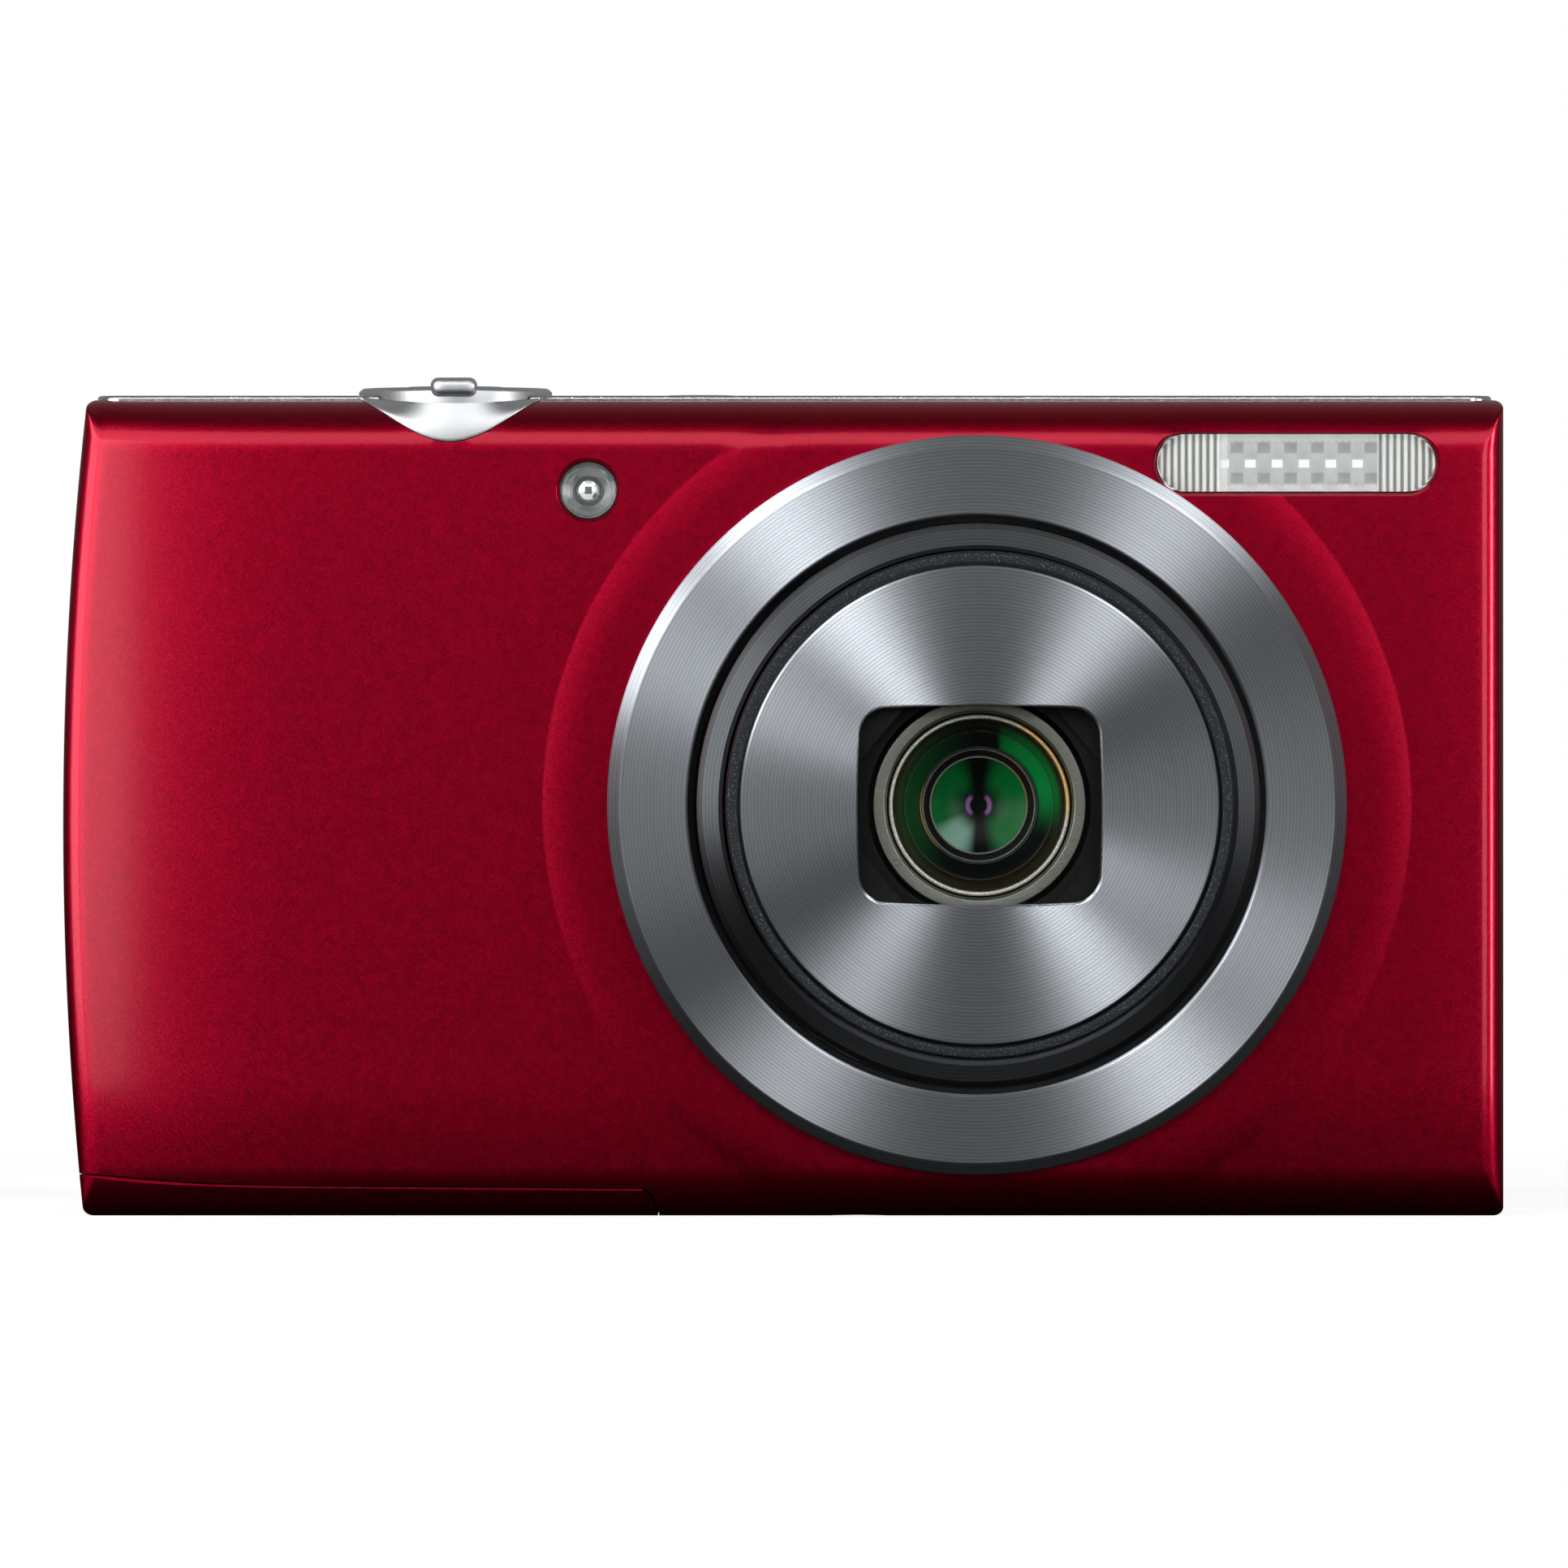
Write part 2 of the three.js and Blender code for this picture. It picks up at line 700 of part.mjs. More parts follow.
function doorRegion(grow) {
  const points = doorSeam.map(([x, z]) => [x + grow, z + grow]);
  const [start, end] = [points[0][0], points.at(-1)[0]];
  const below = -2;
  points.push([end, below], [start, below]);
  const fore = prism(polygon(points), 'y', front - 1, doorHingeY + grow);
  const heel = turned(disc(doorHingeZ + grow, start, end), 'x', [0, doorHingeY, doorHingeZ], smallSteps);
  const above = block([-far, far], [doorHingeY - doorHingeZ, far], [doorHingeZ, far]);
  return join(fore, cut(heel, above));
}

// The room in the covers for the battery door, with space behind its heel for it to hang open
function doorOpening() {
  const behind = doorHingeY + doorHingeZ + restGap;
  const ends = [doorSeam[0][0], doorSeam.at(-1)[0] + seamGap];
  const swing = block(ends, [doorHingeY, behind], [-2, doorHingeZ + seamGap]);
  const roof = turned(disc(doorHingeZ + seamGap, ...ends), 'x', [0, doorHingeY, doorHingeZ], smallSteps);
  return join(doorRegion(seamGap), swing, roof);
}

// Screws: a slotted head and shank, made pointing up and then turned into the body

function screwSolid(profiles, { turn, at }, extra) {
  const upright = profiles.map((profile) => turned(profile, 'z', [0, 0, 0], tinySteps));
  const whole = extra ? cut(join(...upright), extra) : join(...upright);
  return whole.rotate([0, THREE.MathUtils.radToDeg(turn), 0]).translate(at);
}

function countersunkHole(place) {
  const head = disc(screwHeadRadius + fitGap, -1, screwHeadThickness + fitGap);
  const shank = disc(screwShankRadius + fitGap, 0, screwLength + 1);
  return screwSolid([head, shank], place);
}

function screw(place) {
  const head = disc(screwHeadRadius, 0, screwHeadThickness);
  const shank = disc(screwShankRadius, 0, screwLength);
  const half = screwSlot / 2;
  const reach = screwHeadRadius + 1;
  const slot = block([-reach, reach], [-half, half], [-1, screwSlot]);
  const crossSlot = block([-half, half], [-reach, reach], [-1, screwSlot]);
  return screwSolid([head, shank], place, join(slot, crossSlot));
}

// Covers

function frontCover() {
  const half = block([-far, far], [-far, coverSeam], [-far, far]);
  const plain = join(bodyShell.intersect(half), cut(lensSurround(), lensTurned(disc(2, front, far))));
  const flash = roundedRectangle(flashX - flashWidth / 2 - fitGap, flashX + flashWidth / 2 + fitGap,
    flashZ - flashHeight / 2 - fitGap, flashZ + flashHeight / 2 + fitGap, flashHeight / 2);
  const holes = Object.values(screws).map(countersunkHole);
  return cut(plain,
    lensTurned(disc(housingRadius + restGap, front - far, coverSeam)),
    prism(flash, 'y', front - 1, insideFront + 1),
    turned(disc(lampRadius + seamGap, front - 1, insideFront + 1), 'y', [lampX, 0, lampZ], smallSteps),
    turned(disc(socketRadius + fitGap, -1, wall + 1), 'z', [socketX, socketY, 0], smallSteps),
    topPlateForm(seamGap, plateBottom - 1, plateTop + 1),
    lipNotch(),
    doorOpening(),
    terminalPocket(),
    ...holes);
}

function buttonProfile(radius, outer, proud) {
  const flangeBack = buttonBoardBack + buttonTravelGap;
  const flangeFront = flangeBack + buttonFlangeThickness;
  return [[0, flangeBack], [radius + outer, flangeBack], [radius + outer, flangeFront], [radius, flangeFront],
    [radius, back + proud - buttonEdge], [radius - buttonEdge, back + proud], [0, back + proud]];
}

const throughBack = (radius, x, z) => turned(disc(radius, insideBack - 1, back + 1), 'y', [x, 0, z], smallSteps);

function rearCover() {
  const half = block([-far, far], [coverSeam + seamGap, far], [-far, far]);
  const window = roundedRectangle(screen.left - fitGap, screen.right + fitGap,
    screen.bottom - fitGap, screen.top + fitGap, screenCorner + fitGap);
  const buttonHoles = Object.values(rearButtons).map(([x, z]) => throughBack(buttonRadius + slideGap, x, z));
  const lugHole = block([-far, lugInner], [lug.front - fitGap, lug.back + fitGap],
    [lug.bottom - fitGap, lug.top + fitGap]);
  return cut(bodyShell.intersect(half),
    prism(window, 'y', insideBack - 1, back + 1),
    throughBack(padRadius + slideGap, padX, padZ),
    ...buttonHoles,
    topPlateForm(seamGap, plateBottom - 1, plateTop + 1),
    doorOpening(),
    terminalPocket(),
    lugHole);
}

function terminalPocket() {
  return block([right - wall - 1, far], [terminal.front - fitGap, terminal.back + fitGap],
    [terminal.bottom - fitGap, terminal.top + fitGap]);
}

function topCover() {
  const through = (radius, x, y, steps) => turned(disc(radius, 0, plateTop + 1), 'z', [x, y, 0], steps);
  const recess = turned(disc(leverRadius + slideGap, leverBottom - fitGap, plateTop + 1),
    'z', [shutterX, shutterY, 0], middleSteps);
  const hub = through(leverHubRadius + slideGap, shutterX, shutterY, middleSteps);
  const power = through(powerRadius + slideGap, powerX, powerY, smallSteps);
  const sound = [];
  for (let i = 0; i < soundHoles; i += 1) {
    const x = speakerX + (i - (soundHoles - 1) / 2) * soundHolePitch;
    sound.push(through(soundHoleRadius, x, speakerY, tinySteps));
  }
  return cut(join(topPlateForm(0, plateBottom, plateTop), shutterLip()), recess, hub, power, ...sound);
}

function batteryDoor() {
  const skin = bodyShell.intersect(doorRegion(0));
  const knuckle = (x) => turned(disc(doorKnuckleRadius, x - doorKnuckleLength / 2, x + doorKnuckleLength / 2),
    'x', [0, doorHingeY, doorHingeZ], smallSteps);
  const pinHole = turned(disc(doorPinRadius + fitGap, -far, far), 'x', [0, doorHingeY, doorHingeZ], tinySteps);
  return cut(join(skin, ...doorKnuckles.map(knuckle)), pinHole);
}

function doorHingeBar() {
  const pin = turned(disc(doorPinRadius, ...doorPinEnds), 'x', [0, doorHingeY, doorHingeZ], tinySteps);
  const low = wall + fitGap;
  const tongue = block([doorMiddle - doorTongueWidth / 2, doorMiddle + doorTongueWidth / 2],
    [doorHingeY - doorTongueLength, doorHingeY], [low, low + doorTongueThickness]);
  return join(pin, tongue);
}

// Sides and base

const terminalHinge = {
  x: right - seamGap - terminal.thickness / 2,
  y: terminal.back - terminal.thickness / 2,
};

function terminalCover() {
  const outer = right - seamGap;
  const inner = outer - terminal.thickness;
  const flap = block([inner, outer], [terminal.front, terminalHinge.y], [terminal.bottom, terminal.top]);
  const roll = turned(disc(terminal.thickness / 2, terminal.bottom, terminal.top),
    'z', [terminalHinge.x, terminalHinge.y, 0], smallSteps);
  return join(flap, roll);
}

function terminalConnector() {
  const outer = right - wall - fitGap;
  const { depth, width, height, bottom, front: y0, wall: skin, mouth } = connector;
  const shell = block([outer - depth, outer], [y0, y0 + width], [bottom, bottom + height]);
  const opening = block([outer - mouth, outer + 1], [y0 + skin, y0 + width - skin],
    [bottom + skin, bottom + height - skin]);
  const tongueInset = width / 2 - skin;
  const tongue = block([outer - mouth - skin, outer - 1], [y0 + tongueInset, y0 + width - tongueInset],
    [bottom + 2 * skin, bottom + height - 2 * skin]);
  return join(cut(shell, opening), tongue);
}

function strapLug() {
  const cup = block([lugOuter, lugInner], [lug.front, lug.back], [lug.bottom, lug.top]);
  const pocket = block([lugOuter - 1, lugInner - lug.wall], [lug.front + lug.wall, lug.back - lug.wall],
    [lug.bottom + lug.wall, lug.top - lug.wall]);
  const middle = (lug.front + lug.back) / 2;
  const bar = turned(disc(lug.bar, lug.bottom + lug.wall / 2, lug.top - lug.wall / 2),
    'z', [lugOuter + lug.bar + seamGap, middle, 0], tinySteps);
  return join(cut(cup, pocket), bar);
}

function tripodSocket() {
  const plateFront = front + frontRound.bottom - restGap;
  const plate = block([socketX - socketPlateReach, socketX + socketPlateReach],
    [plateFront, coverSeam - fitGap], [wall + seamGap, wall + seamGap + socketFlange]);
  const boss = turned(disc(socketRadius, fitGap, socketHeight), 'z', [socketX, socketY, 0], smallSteps);
  const bore = turned(disc(socketBore, -1, socketDepth), 'z', [socketX, socketY, 0], smallSteps);
  return cut(join(plate, boss), bore);
}

// Lens unit, fixed pieces

function lensBezelRing() {
  return lensTurned([[bezelRadius, bezelBack], [bezelRadius, bezelFront + bezelChamfer],
    [bezelRadius - bezelChamfer, bezelFront], [bezelBore + bezelEdge, bezelFront],
    [bezelBore, bezelFront + bezelEdge], [bezelBore, bezelBack]]);
}

function lensSealRing() {
  const from = bezelBack + seamGap;
  return lensTurned(tube(housingRadius, barrelOneRadius + slideGap, from, from + sealThickness));
}

function lensHousing() {
  const shell = lensTurned([[barrelOneRadius + slideGap, housingFront], [housingRadius, housingFront],
    [housingRadius, housingEnd], [housingBore, housingEnd], [housingBore, housingFront + housingLip],
    [barrelOneRadius + slideGap, housingFront + housingLip]]);
  const [x, z] = motorCentre;
  const cradleFront = motorFront + cradleSetBack;
  const outer = motorRadius + fitGap + cradleWall;
  const cradle = turned(disc(outer, cradleFront, cradleFront + cradleLength), 'y', [x, 0, z], smallSteps);
  const seat = turned(disc(motorRadius + fitGap, -far, far), 'y', [x, 0, z], smallSteps);
  const rib = alongMotor(housingRadius - housingWall / 2, gearDistance, cradleRibWidth,
    cradleFront, cradleFront + cradleLength);
  const bore = lensTurned(disc(housingBore, housingFront + housingLip, far));
  return cut(join(shell, cut(join(cradle, rib), seat)), bore);
}

// A straight bar from the lens axis towards the motor, between two distances.
function alongMotor(from, to, width, y0, y1) {
  const geometry = new THREE.BoxGeometry(to - from, y1 - y0, width);
  geometry.translate((from + to) / 2, (y0 + y1) / 2, 0);
  geometry.rotateY(-motorAngle);
  geometry.translate(lensX, 0, lensZ);
  return solid(geometry);
}

function lensBase() {
  const plate = lensTurned(disc(housingRadius, lensBaseFront, lensBaseBack));
  const [x, z] = motorCentre;
  const lobe = turned(disc(motorRadius + cradleWall, lensBaseFront, lensBaseBack), 'y', [x, 0, z], smallSteps);
  const arm = alongMotor(housingRadius - motorRadius, gearDistance, 2 * motorRadius, lensBaseFront, lensBaseBack);
  const window = block([lensX - sensorWidth / 2 - fitGap, lensX + sensorWidth / 2 + fitGap], [-far, far],
    [lensZ - sensorHeight / 2 - fitGap, lensZ + sensorHeight / 2 + fitGap]);
  const rodFront = focusFront - guideRodReach;
  const rod = (side) => turned(disc(guideRodRadius, rodFront, lensBaseBack), 'y',
    [lensX + side * guideRodOffset, 0, lensZ], tinySteps);
  return join(cut(join(plate, lobe, arm), window), rod(-1), rod(1));
}

function focusLensGroup() {
  const holder = [[0, focusFront - focusFrontBulge], [focusLensRadius, focusFront],
    [focusHolderRadius, focusFront], [focusHolderRadius, focusBack],
    [focusLensRadius, focusBack], [0, focusBack + focusBackBulge]];
  const rodHole = (side) => turned(disc(guideRodRadius + fitGap, -far, far), 'y',
    [lensX + side * guideRodOffset, 0, lensZ], tinySteps);
  return cut(lensTurned(holder, middleSteps), rodHole(-1), rodHole(1));
}

function imageSensor() {
  return block([lensX - sensorWidth / 2, lensX + sensorWidth / 2], [lensBaseBack - sensorThickness, lensBaseBack],
    [lensZ - sensorHeight / 2, lensZ + sensorHeight / 2]);
}

// Lens unit, barrels and what they carry

function lensBarrelOne() {
  const bore = barrelTwoRadius + slideGap;
  const inside = barrelOneRadius - barrelOneWall;
  const flange = housingBore - slideGap;
  return lensTurned([[bore, barrelOneFront], [barrelOneRadius - barrelEdge, barrelOneFront],
    [barrelOneRadius, barrelOneFront + barrelEdge], [barrelOneRadius, barrelOneBack - flangeLength],
    [flange, barrelOneBack - flangeLength], [flange, barrelOneBack], [inside, barrelOneBack],
    [inside, barrelOneFront + mouthLip], [bore, barrelOneFront + mouthLip]]);
}

function lensBarrelTwo() {
  const mouth = barrelTwoRadius - barrelTwoRim;
  const inside = barrelTwoRadius - barrelTwoWall;
  const flange = barrelOneRadius - barrelOneWall - slideGap;
  const shoulder = barrierBaseBack + seamGap;
  return lensTurned([[mouth, barrelTwoFront], [barrelTwoRadius - barrelEdge / 2, barrelTwoFront],
    [barrelTwoRadius, barrelTwoFront + barrelEdge / 2], [barrelTwoRadius, barrelTwoBack - flangeLength],
    [flange, barrelTwoBack - flangeLength], [flange, barrelTwoBack], [inside, barrelTwoBack],
    [inside, shoulder], [mouth, shoulder]]);
}

function lensFrontTrim() {
  const face = lensTurned([[0, trimFront], [trimRadius - seamGap, trimFront],
    [trimRadius, trimFront + seamGap], [trimRadius, trimBack], [0, trimBack]]);
  const [u, v] = [openingWidth / 2, openingHeight / 2];
  const [corner, bulge] = [openingCorner, openingBulge];
  const opening = new THREE.Shape();
  opening.absarc(lensX + u - corner, lensZ - v + corner, corner, -Math.PI / 2, 0);
  opening.quadraticCurveTo(lensX + u + bulge, lensZ, lensX + u, lensZ + v - corner);
  opening.absarc(lensX + u - corner, lensZ + v - corner, corner, 0, Math.PI / 2);
  opening.absarc(lensX - u + corner, lensZ + v - corner, corner, Math.PI / 2, Math.PI);
  opening.quadraticCurveTo(lensX - u - bulge, lensZ, lensX - u, lensZ - v + corner);
  opening.absarc(lensX - u + corner, lensZ - v + corner, corner, Math.PI, 1.5 * Math.PI);
  return cut(face, prism(opening, 'y', trimFront - 1, trimBack + 1));
}

// The barrier is four thin blades on pins. The left pair swings in one layer and the right pair
// in the next. Open, each blade is the part of a disc beyond a slanted straight edge.
function bladeOutline(sideX, sideZ) {
  const swing = THREE.MathUtils.degToRad(bladeSwing);
  const along = [Math.cos(swing), Math.sin(swing)];
  const { x: px, z: pz } = bladePivot;
  const start = [-px + bladeEdgeOffset * along[1], pz - bladeEdgeOffset * along[0]];
  const dot = start[0] * along[0] + start[1] * along[1];
  const reach = -dot + Math.sqrt(dot ** 2 - (start[0] ** 2 + start[1] ** 2 - bladeRadius ** 2));
  const tip = [start[0] + along[0] * reach, start[1] + along[1] * reach];
  const half = swing / 2 - Math.PI / 2 + 0.001;
  const heel = [-px + bladeEdgeOffset * Math.cos(half), pz + bladeEdgeOffset * Math.sin(half)];
  const low = pz - bladeEdgeOffset;
  const points = [[-px, low], heel, start, tip];
  const from = Math.atan2(tip[1], tip[0]);
  const to = Math.PI - Math.asin(low / bladeRadius);
  const steps = 14;
  for (let i = 1; i <= steps; i += 1) {
    const angle = from + ((to - from) * i) / steps;
    points.push([bladeRadius * Math.cos(angle), bladeRadius * Math.sin(angle)]);
  }
  return polygon(points.map(([u, v]) => [lensX - sideX * u, lensZ + sideZ * v]));
}

// sideX is -1 for the left pair and 1 for the right pair, sideZ is 1 for the upper blades.
function barrierBlade(sideX, sideZ) {
  const from = sideX < 0 ? bladeFrontLayer : bladeBackLayer;
  const blade = prism(bladeOutline(sideX, sideZ), 'y', from, from + bladeThickness);
  const hole = turned(disc(pivotPinRadius + fitGap, from - 1, from + 1), 'y',
    [lensX + sideX * bladePivot.x, 0, lensZ + sideZ * bladePivot.z], tinySteps);
  return cut(blade, hole);
}

function barrierBase() {
  const plate = lensTurned(tube(barrelTwoRadius - barrelTwoRim - restGap, barrierBaseBore,
    barrierBaseFront, barrierBaseBack));
  const pins = [];
  for (const sideX of [-1, 1]) {
    for (const sideZ of [-1, 1]) {
      const top = sideX < 0 ? bladeFrontLayer : bladeBackLayer;
      pins.push(turned(disc(pivotPinRadius, top, barrierBaseBack), 'y',
        [lensX + sideX * bladePivot.x, 0, lensZ + sideZ * bladePivot.z], tinySteps));
    }
  }
  return join(plate, ...pins);
}

const frontRingFront = barrierBaseFront + frontRingSetBack;
const frontRingBack = frontRingFront + frontRingLength;
const holderFront = frontRingBack - holderFlange;
const holderRadius = barrelTwoRadius - barrelTwoWall - restGap;

function frontLensRing() {
  const bore = frontLensRadius + fitGap;
  const seat = frontLensRadius - holderSeat;
  return lensTurned([[bore + frontRingMouth, frontRingFront], [frontRingRadius - fitGap, frontRingFront],
    [frontRingRadius, frontRingFront + fitGap], [frontRingRadius, holderFront],
    [holderRadius, holderFront], [holderRadius, frontRingBack], [seat, frontRingBack],
    [seat, holderFront], [bore, holderFront], [bore, frontRingFront + frontRingTaper]], middleSteps);
}

function frontLens() {
  const rim = frontRingFront + frontLensSetBack;
  const rear = holderFront - seamGap;
  const profile = [[0, rim - frontLensSag]];
  const steps = 4;
  for (let i = 1; i <= steps; i += 1) {
    const t = i / steps;
    profile.push([frontLensRadius * t, rim - frontLensSag * (1 - t ** 2)]);
  }
  profile.push([frontLensRadius, rear], [0, rear - frontLensHollow]);
  return lensTurned(profile, middleSteps);
}

const apertureFront = barrelTwoFront + apertureSetBack;
const apertureBack = apertureFront + apertureThickness;

function apertureUnit() {
  return lensTurned(tube(holderRadius, apertureBore, apertureFront, apertureBack), middleSteps);
}

function middleLens() {
  const from = apertureBack + seamGap;
  const to = from + middleLensThickness;
  return lensTurned([[0, from], [middleLensRadius, from + middleLensBulge],
    [middleLensRadius, to - middleLensBulge], [0, to]], smallSteps);
}

// Zoom drive: a toothed ring round the housing, turned by the motor's pinion

// A gear's teeth as straight-sided points about the origin. A tooth is centred on each angle.
function gearOutline(teeth, angles, rootOnly) {
  const pitch = (gearModule * teeth) / 2;
  const tip = pitch + gearAddendum;
  const root = pitch - gearDedendum;
  const thick = (Math.PI * gearModule - gearBacklash) / 2;
  const halves = [[root, thick * 0.72], [pitch, thick * 0.5], [tip, thick * 0.22]];
  const points = [];
  for (const angle of angles) {
    for (const [r, half] of halves) points.push([r, angle - half / r]);
    for (const [r, half] of [...halves].reverse()) points.push([r, angle + half / r]);
  }
  for (const angle of rootOnly) points.push([root, angle]);
  return points.map(([r, angle]) => [r * Math.cos(angle), r * Math.sin(angle)]);
}

function driveRing() {
  const pitchAngle = (2 * Math.PI) / ringTeeth;
  const middle = motorAngle + THREE.MathUtils.degToRad(sectorMiddle);
  const first = Math.round((middle - motorAngle) / pitchAngle - (sectorTeeth - 1) / 2);
  const angles = [];
  for (let i = 0; i < sectorTeeth; i += 1) angles.push(motorAngle + (first + i + 0.5) * pitchAngle);
  const plain = [];
  const start = angles.at(-1) + pitchAngle;
  const end = angles[0] + 2 * Math.PI - pitchAngle;
  const steps = 36;
  for (let i = 0; i <= steps; i += 1) plain.push(start + ((end - start) * i) / steps);
  const outline = gearOutline(ringTeeth, angles, plain).map(([u, v]) => [lensX + u, lensZ + v]);
  const wheel = prism(polygon(outline), 'y', gearFront, gearFront + gearWidth);
  return cut(wheel, lensTurned(disc(housingRadius + restGap, -far, far)));
}

function motorPinion() {
  const angles = [];
  for (let i = 0; i < pinionTeeth; i += 1) angles.push(motorAngle + Math.PI + (2 * Math.PI * i) / pinionTeeth);
  const [x, z] = motorCentre;
  const outline = gearOutline(pinionTeeth, angles, []).map(([u, v]) => [x + u, z + v]);
  const wheel = prism(polygon(outline), 'y', gearFront, gearFront + gearWidth);
  const shaftFront = motorBack - motorShaftReach;
  const shaft = turned(disc(motorShaftRadius, shaftFront, lensBaseFront - fitGap), 'y', [x, 0, z], tinySteps);
  return join(wheel, shaft);
}

function zoomMotor() {
  const [x, z] = motorCentre;
  const can = turned(disc(motorRadius, motorFront, motorBack), 'y', [x, 0, z], smallSteps);
  const shaftEnd = motorBack - motorShaftReach - fitGap;
  return cut(can, turned(disc(motorShaftRadius + fitGap, shaftEnd, motorBack + 1), 'y', [x, 0, z], tinySteps));
}

// Battery compartment

function batteryPack() {
  const outline = roundedRectangle(batteryLeft, batteryRight, batteryFront, batteryBack, batteryCorner);
  return prism(outline, 'z', batteryBottom, batteryTop, 3);
}

function batteryCage() {
  const inner = [[-far, batteryRight + fitGap], [-far, cageBack - cageWall], [-far, batteryTop + fitGap]];
  const outer = block([batteryLeft, batteryRight + fitGap + cageWall], [batteryFront, cageBack],
    [batteryBottom, batteryTop + fitGap + cageWall]);
  return cut(outer, block(...inner));
}

function batteryLock() {
  const top = batteryBottom - seamGap;
  const middle = (batteryFront + batteryBack) / 2;
  const hook = block([batteryRight - lockThrow + fitGap, batteryRight + lockWidth],
    [middle - lockHookLength / 2, middle + lockHookLength / 2], [top - lockHeight, top]);
  const grip = block([batteryRight, batteryRight + lockWidth],
    [middle - lockGripLength / 2, middle + lockGripLength / 2], [top - lockGripHeight, top]);
  return join(hook, grip);
}

function cardSlot() {
  const x0 = cardLeft - fitGap - slotWall;
  const x1 = cardRight + fitGap + slotWall;
  const bottom = cardBottom + slotLift;
  const top = cardTop + fitGap + slotWall;
  const shell = block([x0, x1], [slotFront, slotBack], [bottom, top]);
  const inside = block([x0 + slotWall, x1 - slotWall], [slotFront + slotWall, slotBack - slotWall],
    [bottom - 1, top - slotWall]);
  return cut(shell, inside);
}

function memoryCard() {
  const outline = polygon([[cardLeft, cardBottom], [cardRight, cardBottom], [cardRight, cardTop - cardNick],
    [cardRight - cardNick, cardTop], [cardLeft, cardTop]]);
  const from = slotFront + slotWall + fitGap;
  return prism(outline, 'y', from, from + cardThickness);
}

// Boards and frame

// A rectangular chip or board standing up, given by its middle, width and height.
function upright([x, z], width, height, y0, y1) {
  return block([x - width / 2, x + width / 2], [y0, y1], [z - height / 2, z + height / 2]);
}

function mainBoard() {
  const boardBack = boardFront + boardThickness;
  const base = block([lugInner + restGap, mainBoardRight], [boardFront, boardBack],
    [socketHeight + restGap, mainBoardTop]);
  const processor = upright([padX + 1.5, padZ + 9], processorSize, processorSize, boardFront, boardBack + chipHeight);
  const memory = upright([padX + 15, padZ - 8.5], memoryWidth, memoryHeight, boardFront, boardBack + chipHeight / 2);
  return cut(join(base, processor, memory), lensTurned(disc(ringClear, -far, far)));
}

function topBoard() {
  const underside = topBoardTop - boardThickness;
  const plate = block([shutterX - 7.25, powerX + 3], [topBoardFront, topBoardBack], [underside, topBoardTop]);
  const switchTop = shutterBottom - shutterStemLength - shutterTravel - seamGap;
  const half = keySwitchSize / 2;
  const keySwitch = block([shutterX - half, shutterX + half], [topBoardFront + seamGap, shutterY + half],
    [underside, switchTop]);
  const post = block([powerX - 7.5, powerX - 3.5], [topBoardBack - 2, topBoardBack],
    [underside, plateBottom - seamGap]);
  return cut(join(plate, keySwitch, post), lensTurned(disc(ringClear, gearFront - restGap, far)));
}

function buttonBoard() {
  return block([lugInner + restGap, screen.left - 1.5], [buttonBoardFront, buttonBoardBack],
    [rearButtons.menu_button[1] - buttonBoardMargin, rearButtons.movie_button[1] + buttonBoardMargin]);
}

function chassis() {
  return block([lugInner + restGap, right - chassisMargin.right], [chassisFront, chassisBack],
    [chassisMargin.bottom, coverTop - chassisMargin.top]);
}

// Front windows and flash

function flashWindow() {
  const [hw, hh] = [flashWidth / 2, flashHeight / 2];
  const outline = roundedRectangle(flashX - hw, flashX + hw, flashZ - hh, flashZ + hh, hh - 0.01);
  return prism(outline, 'y', front - surroundRise / 2, insideFront - seamGap, 8);
}

const flashTubeY = reflectorFront + reflectorDepth * 0.55;

function flashReflector() {
  const halfWidth = flashWidth / 2 - reflectorWall;
  const halfHeight = flashHeight / 2 - seamGap;
  const outer = block([flashX - halfWidth, flashX + halfWidth],
    [reflectorFront, reflectorFront + reflectorDepth], [flashZ - halfHeight, flashZ + halfHeight]);
  const trough = new THREE.Shape();
  const deep = reflectorFront + reflectorDepth - reflectorWall;
  const mouth = halfHeight - reflectorRim;
  trough.moveTo(reflectorFront - 1, flashZ - mouth);
  trough.lineTo(reflectorFront, flashZ - mouth);
  trough.bezierCurveTo(deep, flashZ - mouth, deep, flashZ + mouth, reflectorFront, flashZ + mouth);
  trough.lineTo(reflectorFront - 1, flashZ + mouth);
  const hollow = prism(trough, 'x', flashX - halfWidth + reflectorWall, flashX + halfWidth - reflectorWall, 10);
  const tubeHole = turned(disc(flashTubeRadius + fitGap, -far, far), 'x', [0, flashTubeY, flashZ], tinySteps);
  return cut(outer, hollow, tubeHole);
}

function flashTube() {
  return turned(disc(flashTubeRadius, flashX - flashWidth / 2, flashX + flashWidth / 2),
    'x', [0, flashTubeY, flashZ], tinySteps);
}

function flashCapacitor() {
  const y = insideFront + restGap + capacitorRadius;
  const profile = disc(capacitorRadius, capacitorBottom, capacitorBottom + capacitorLength);
  return turned(profile, 'z', [right - capacitorInset, y, 0], smallSteps);
}

function focusLampWindow() {
  return turned([[0, front - lampProud], [lampRadius * 0.6, front - lampProud * 0.8], [lampRadius, front],
    [lampRadius, insideFront], [0, insideFront]], 'y', [lampX, 0, lampZ], smallSteps);
}

function focusLampLed() {
  const from = insideFront + fitGap;
  const neck = lampRadius - lampLedTaper;
  return turned([[0, from], [neck, from], [neck, from + lampLedStep], [lampRadius, from + lampLedStep],
    [lampRadius, from + lampLedLength], [0, from + lampLedLength]], 'y', [lampX, 0, lampZ], smallSteps);
}

// Controls on top

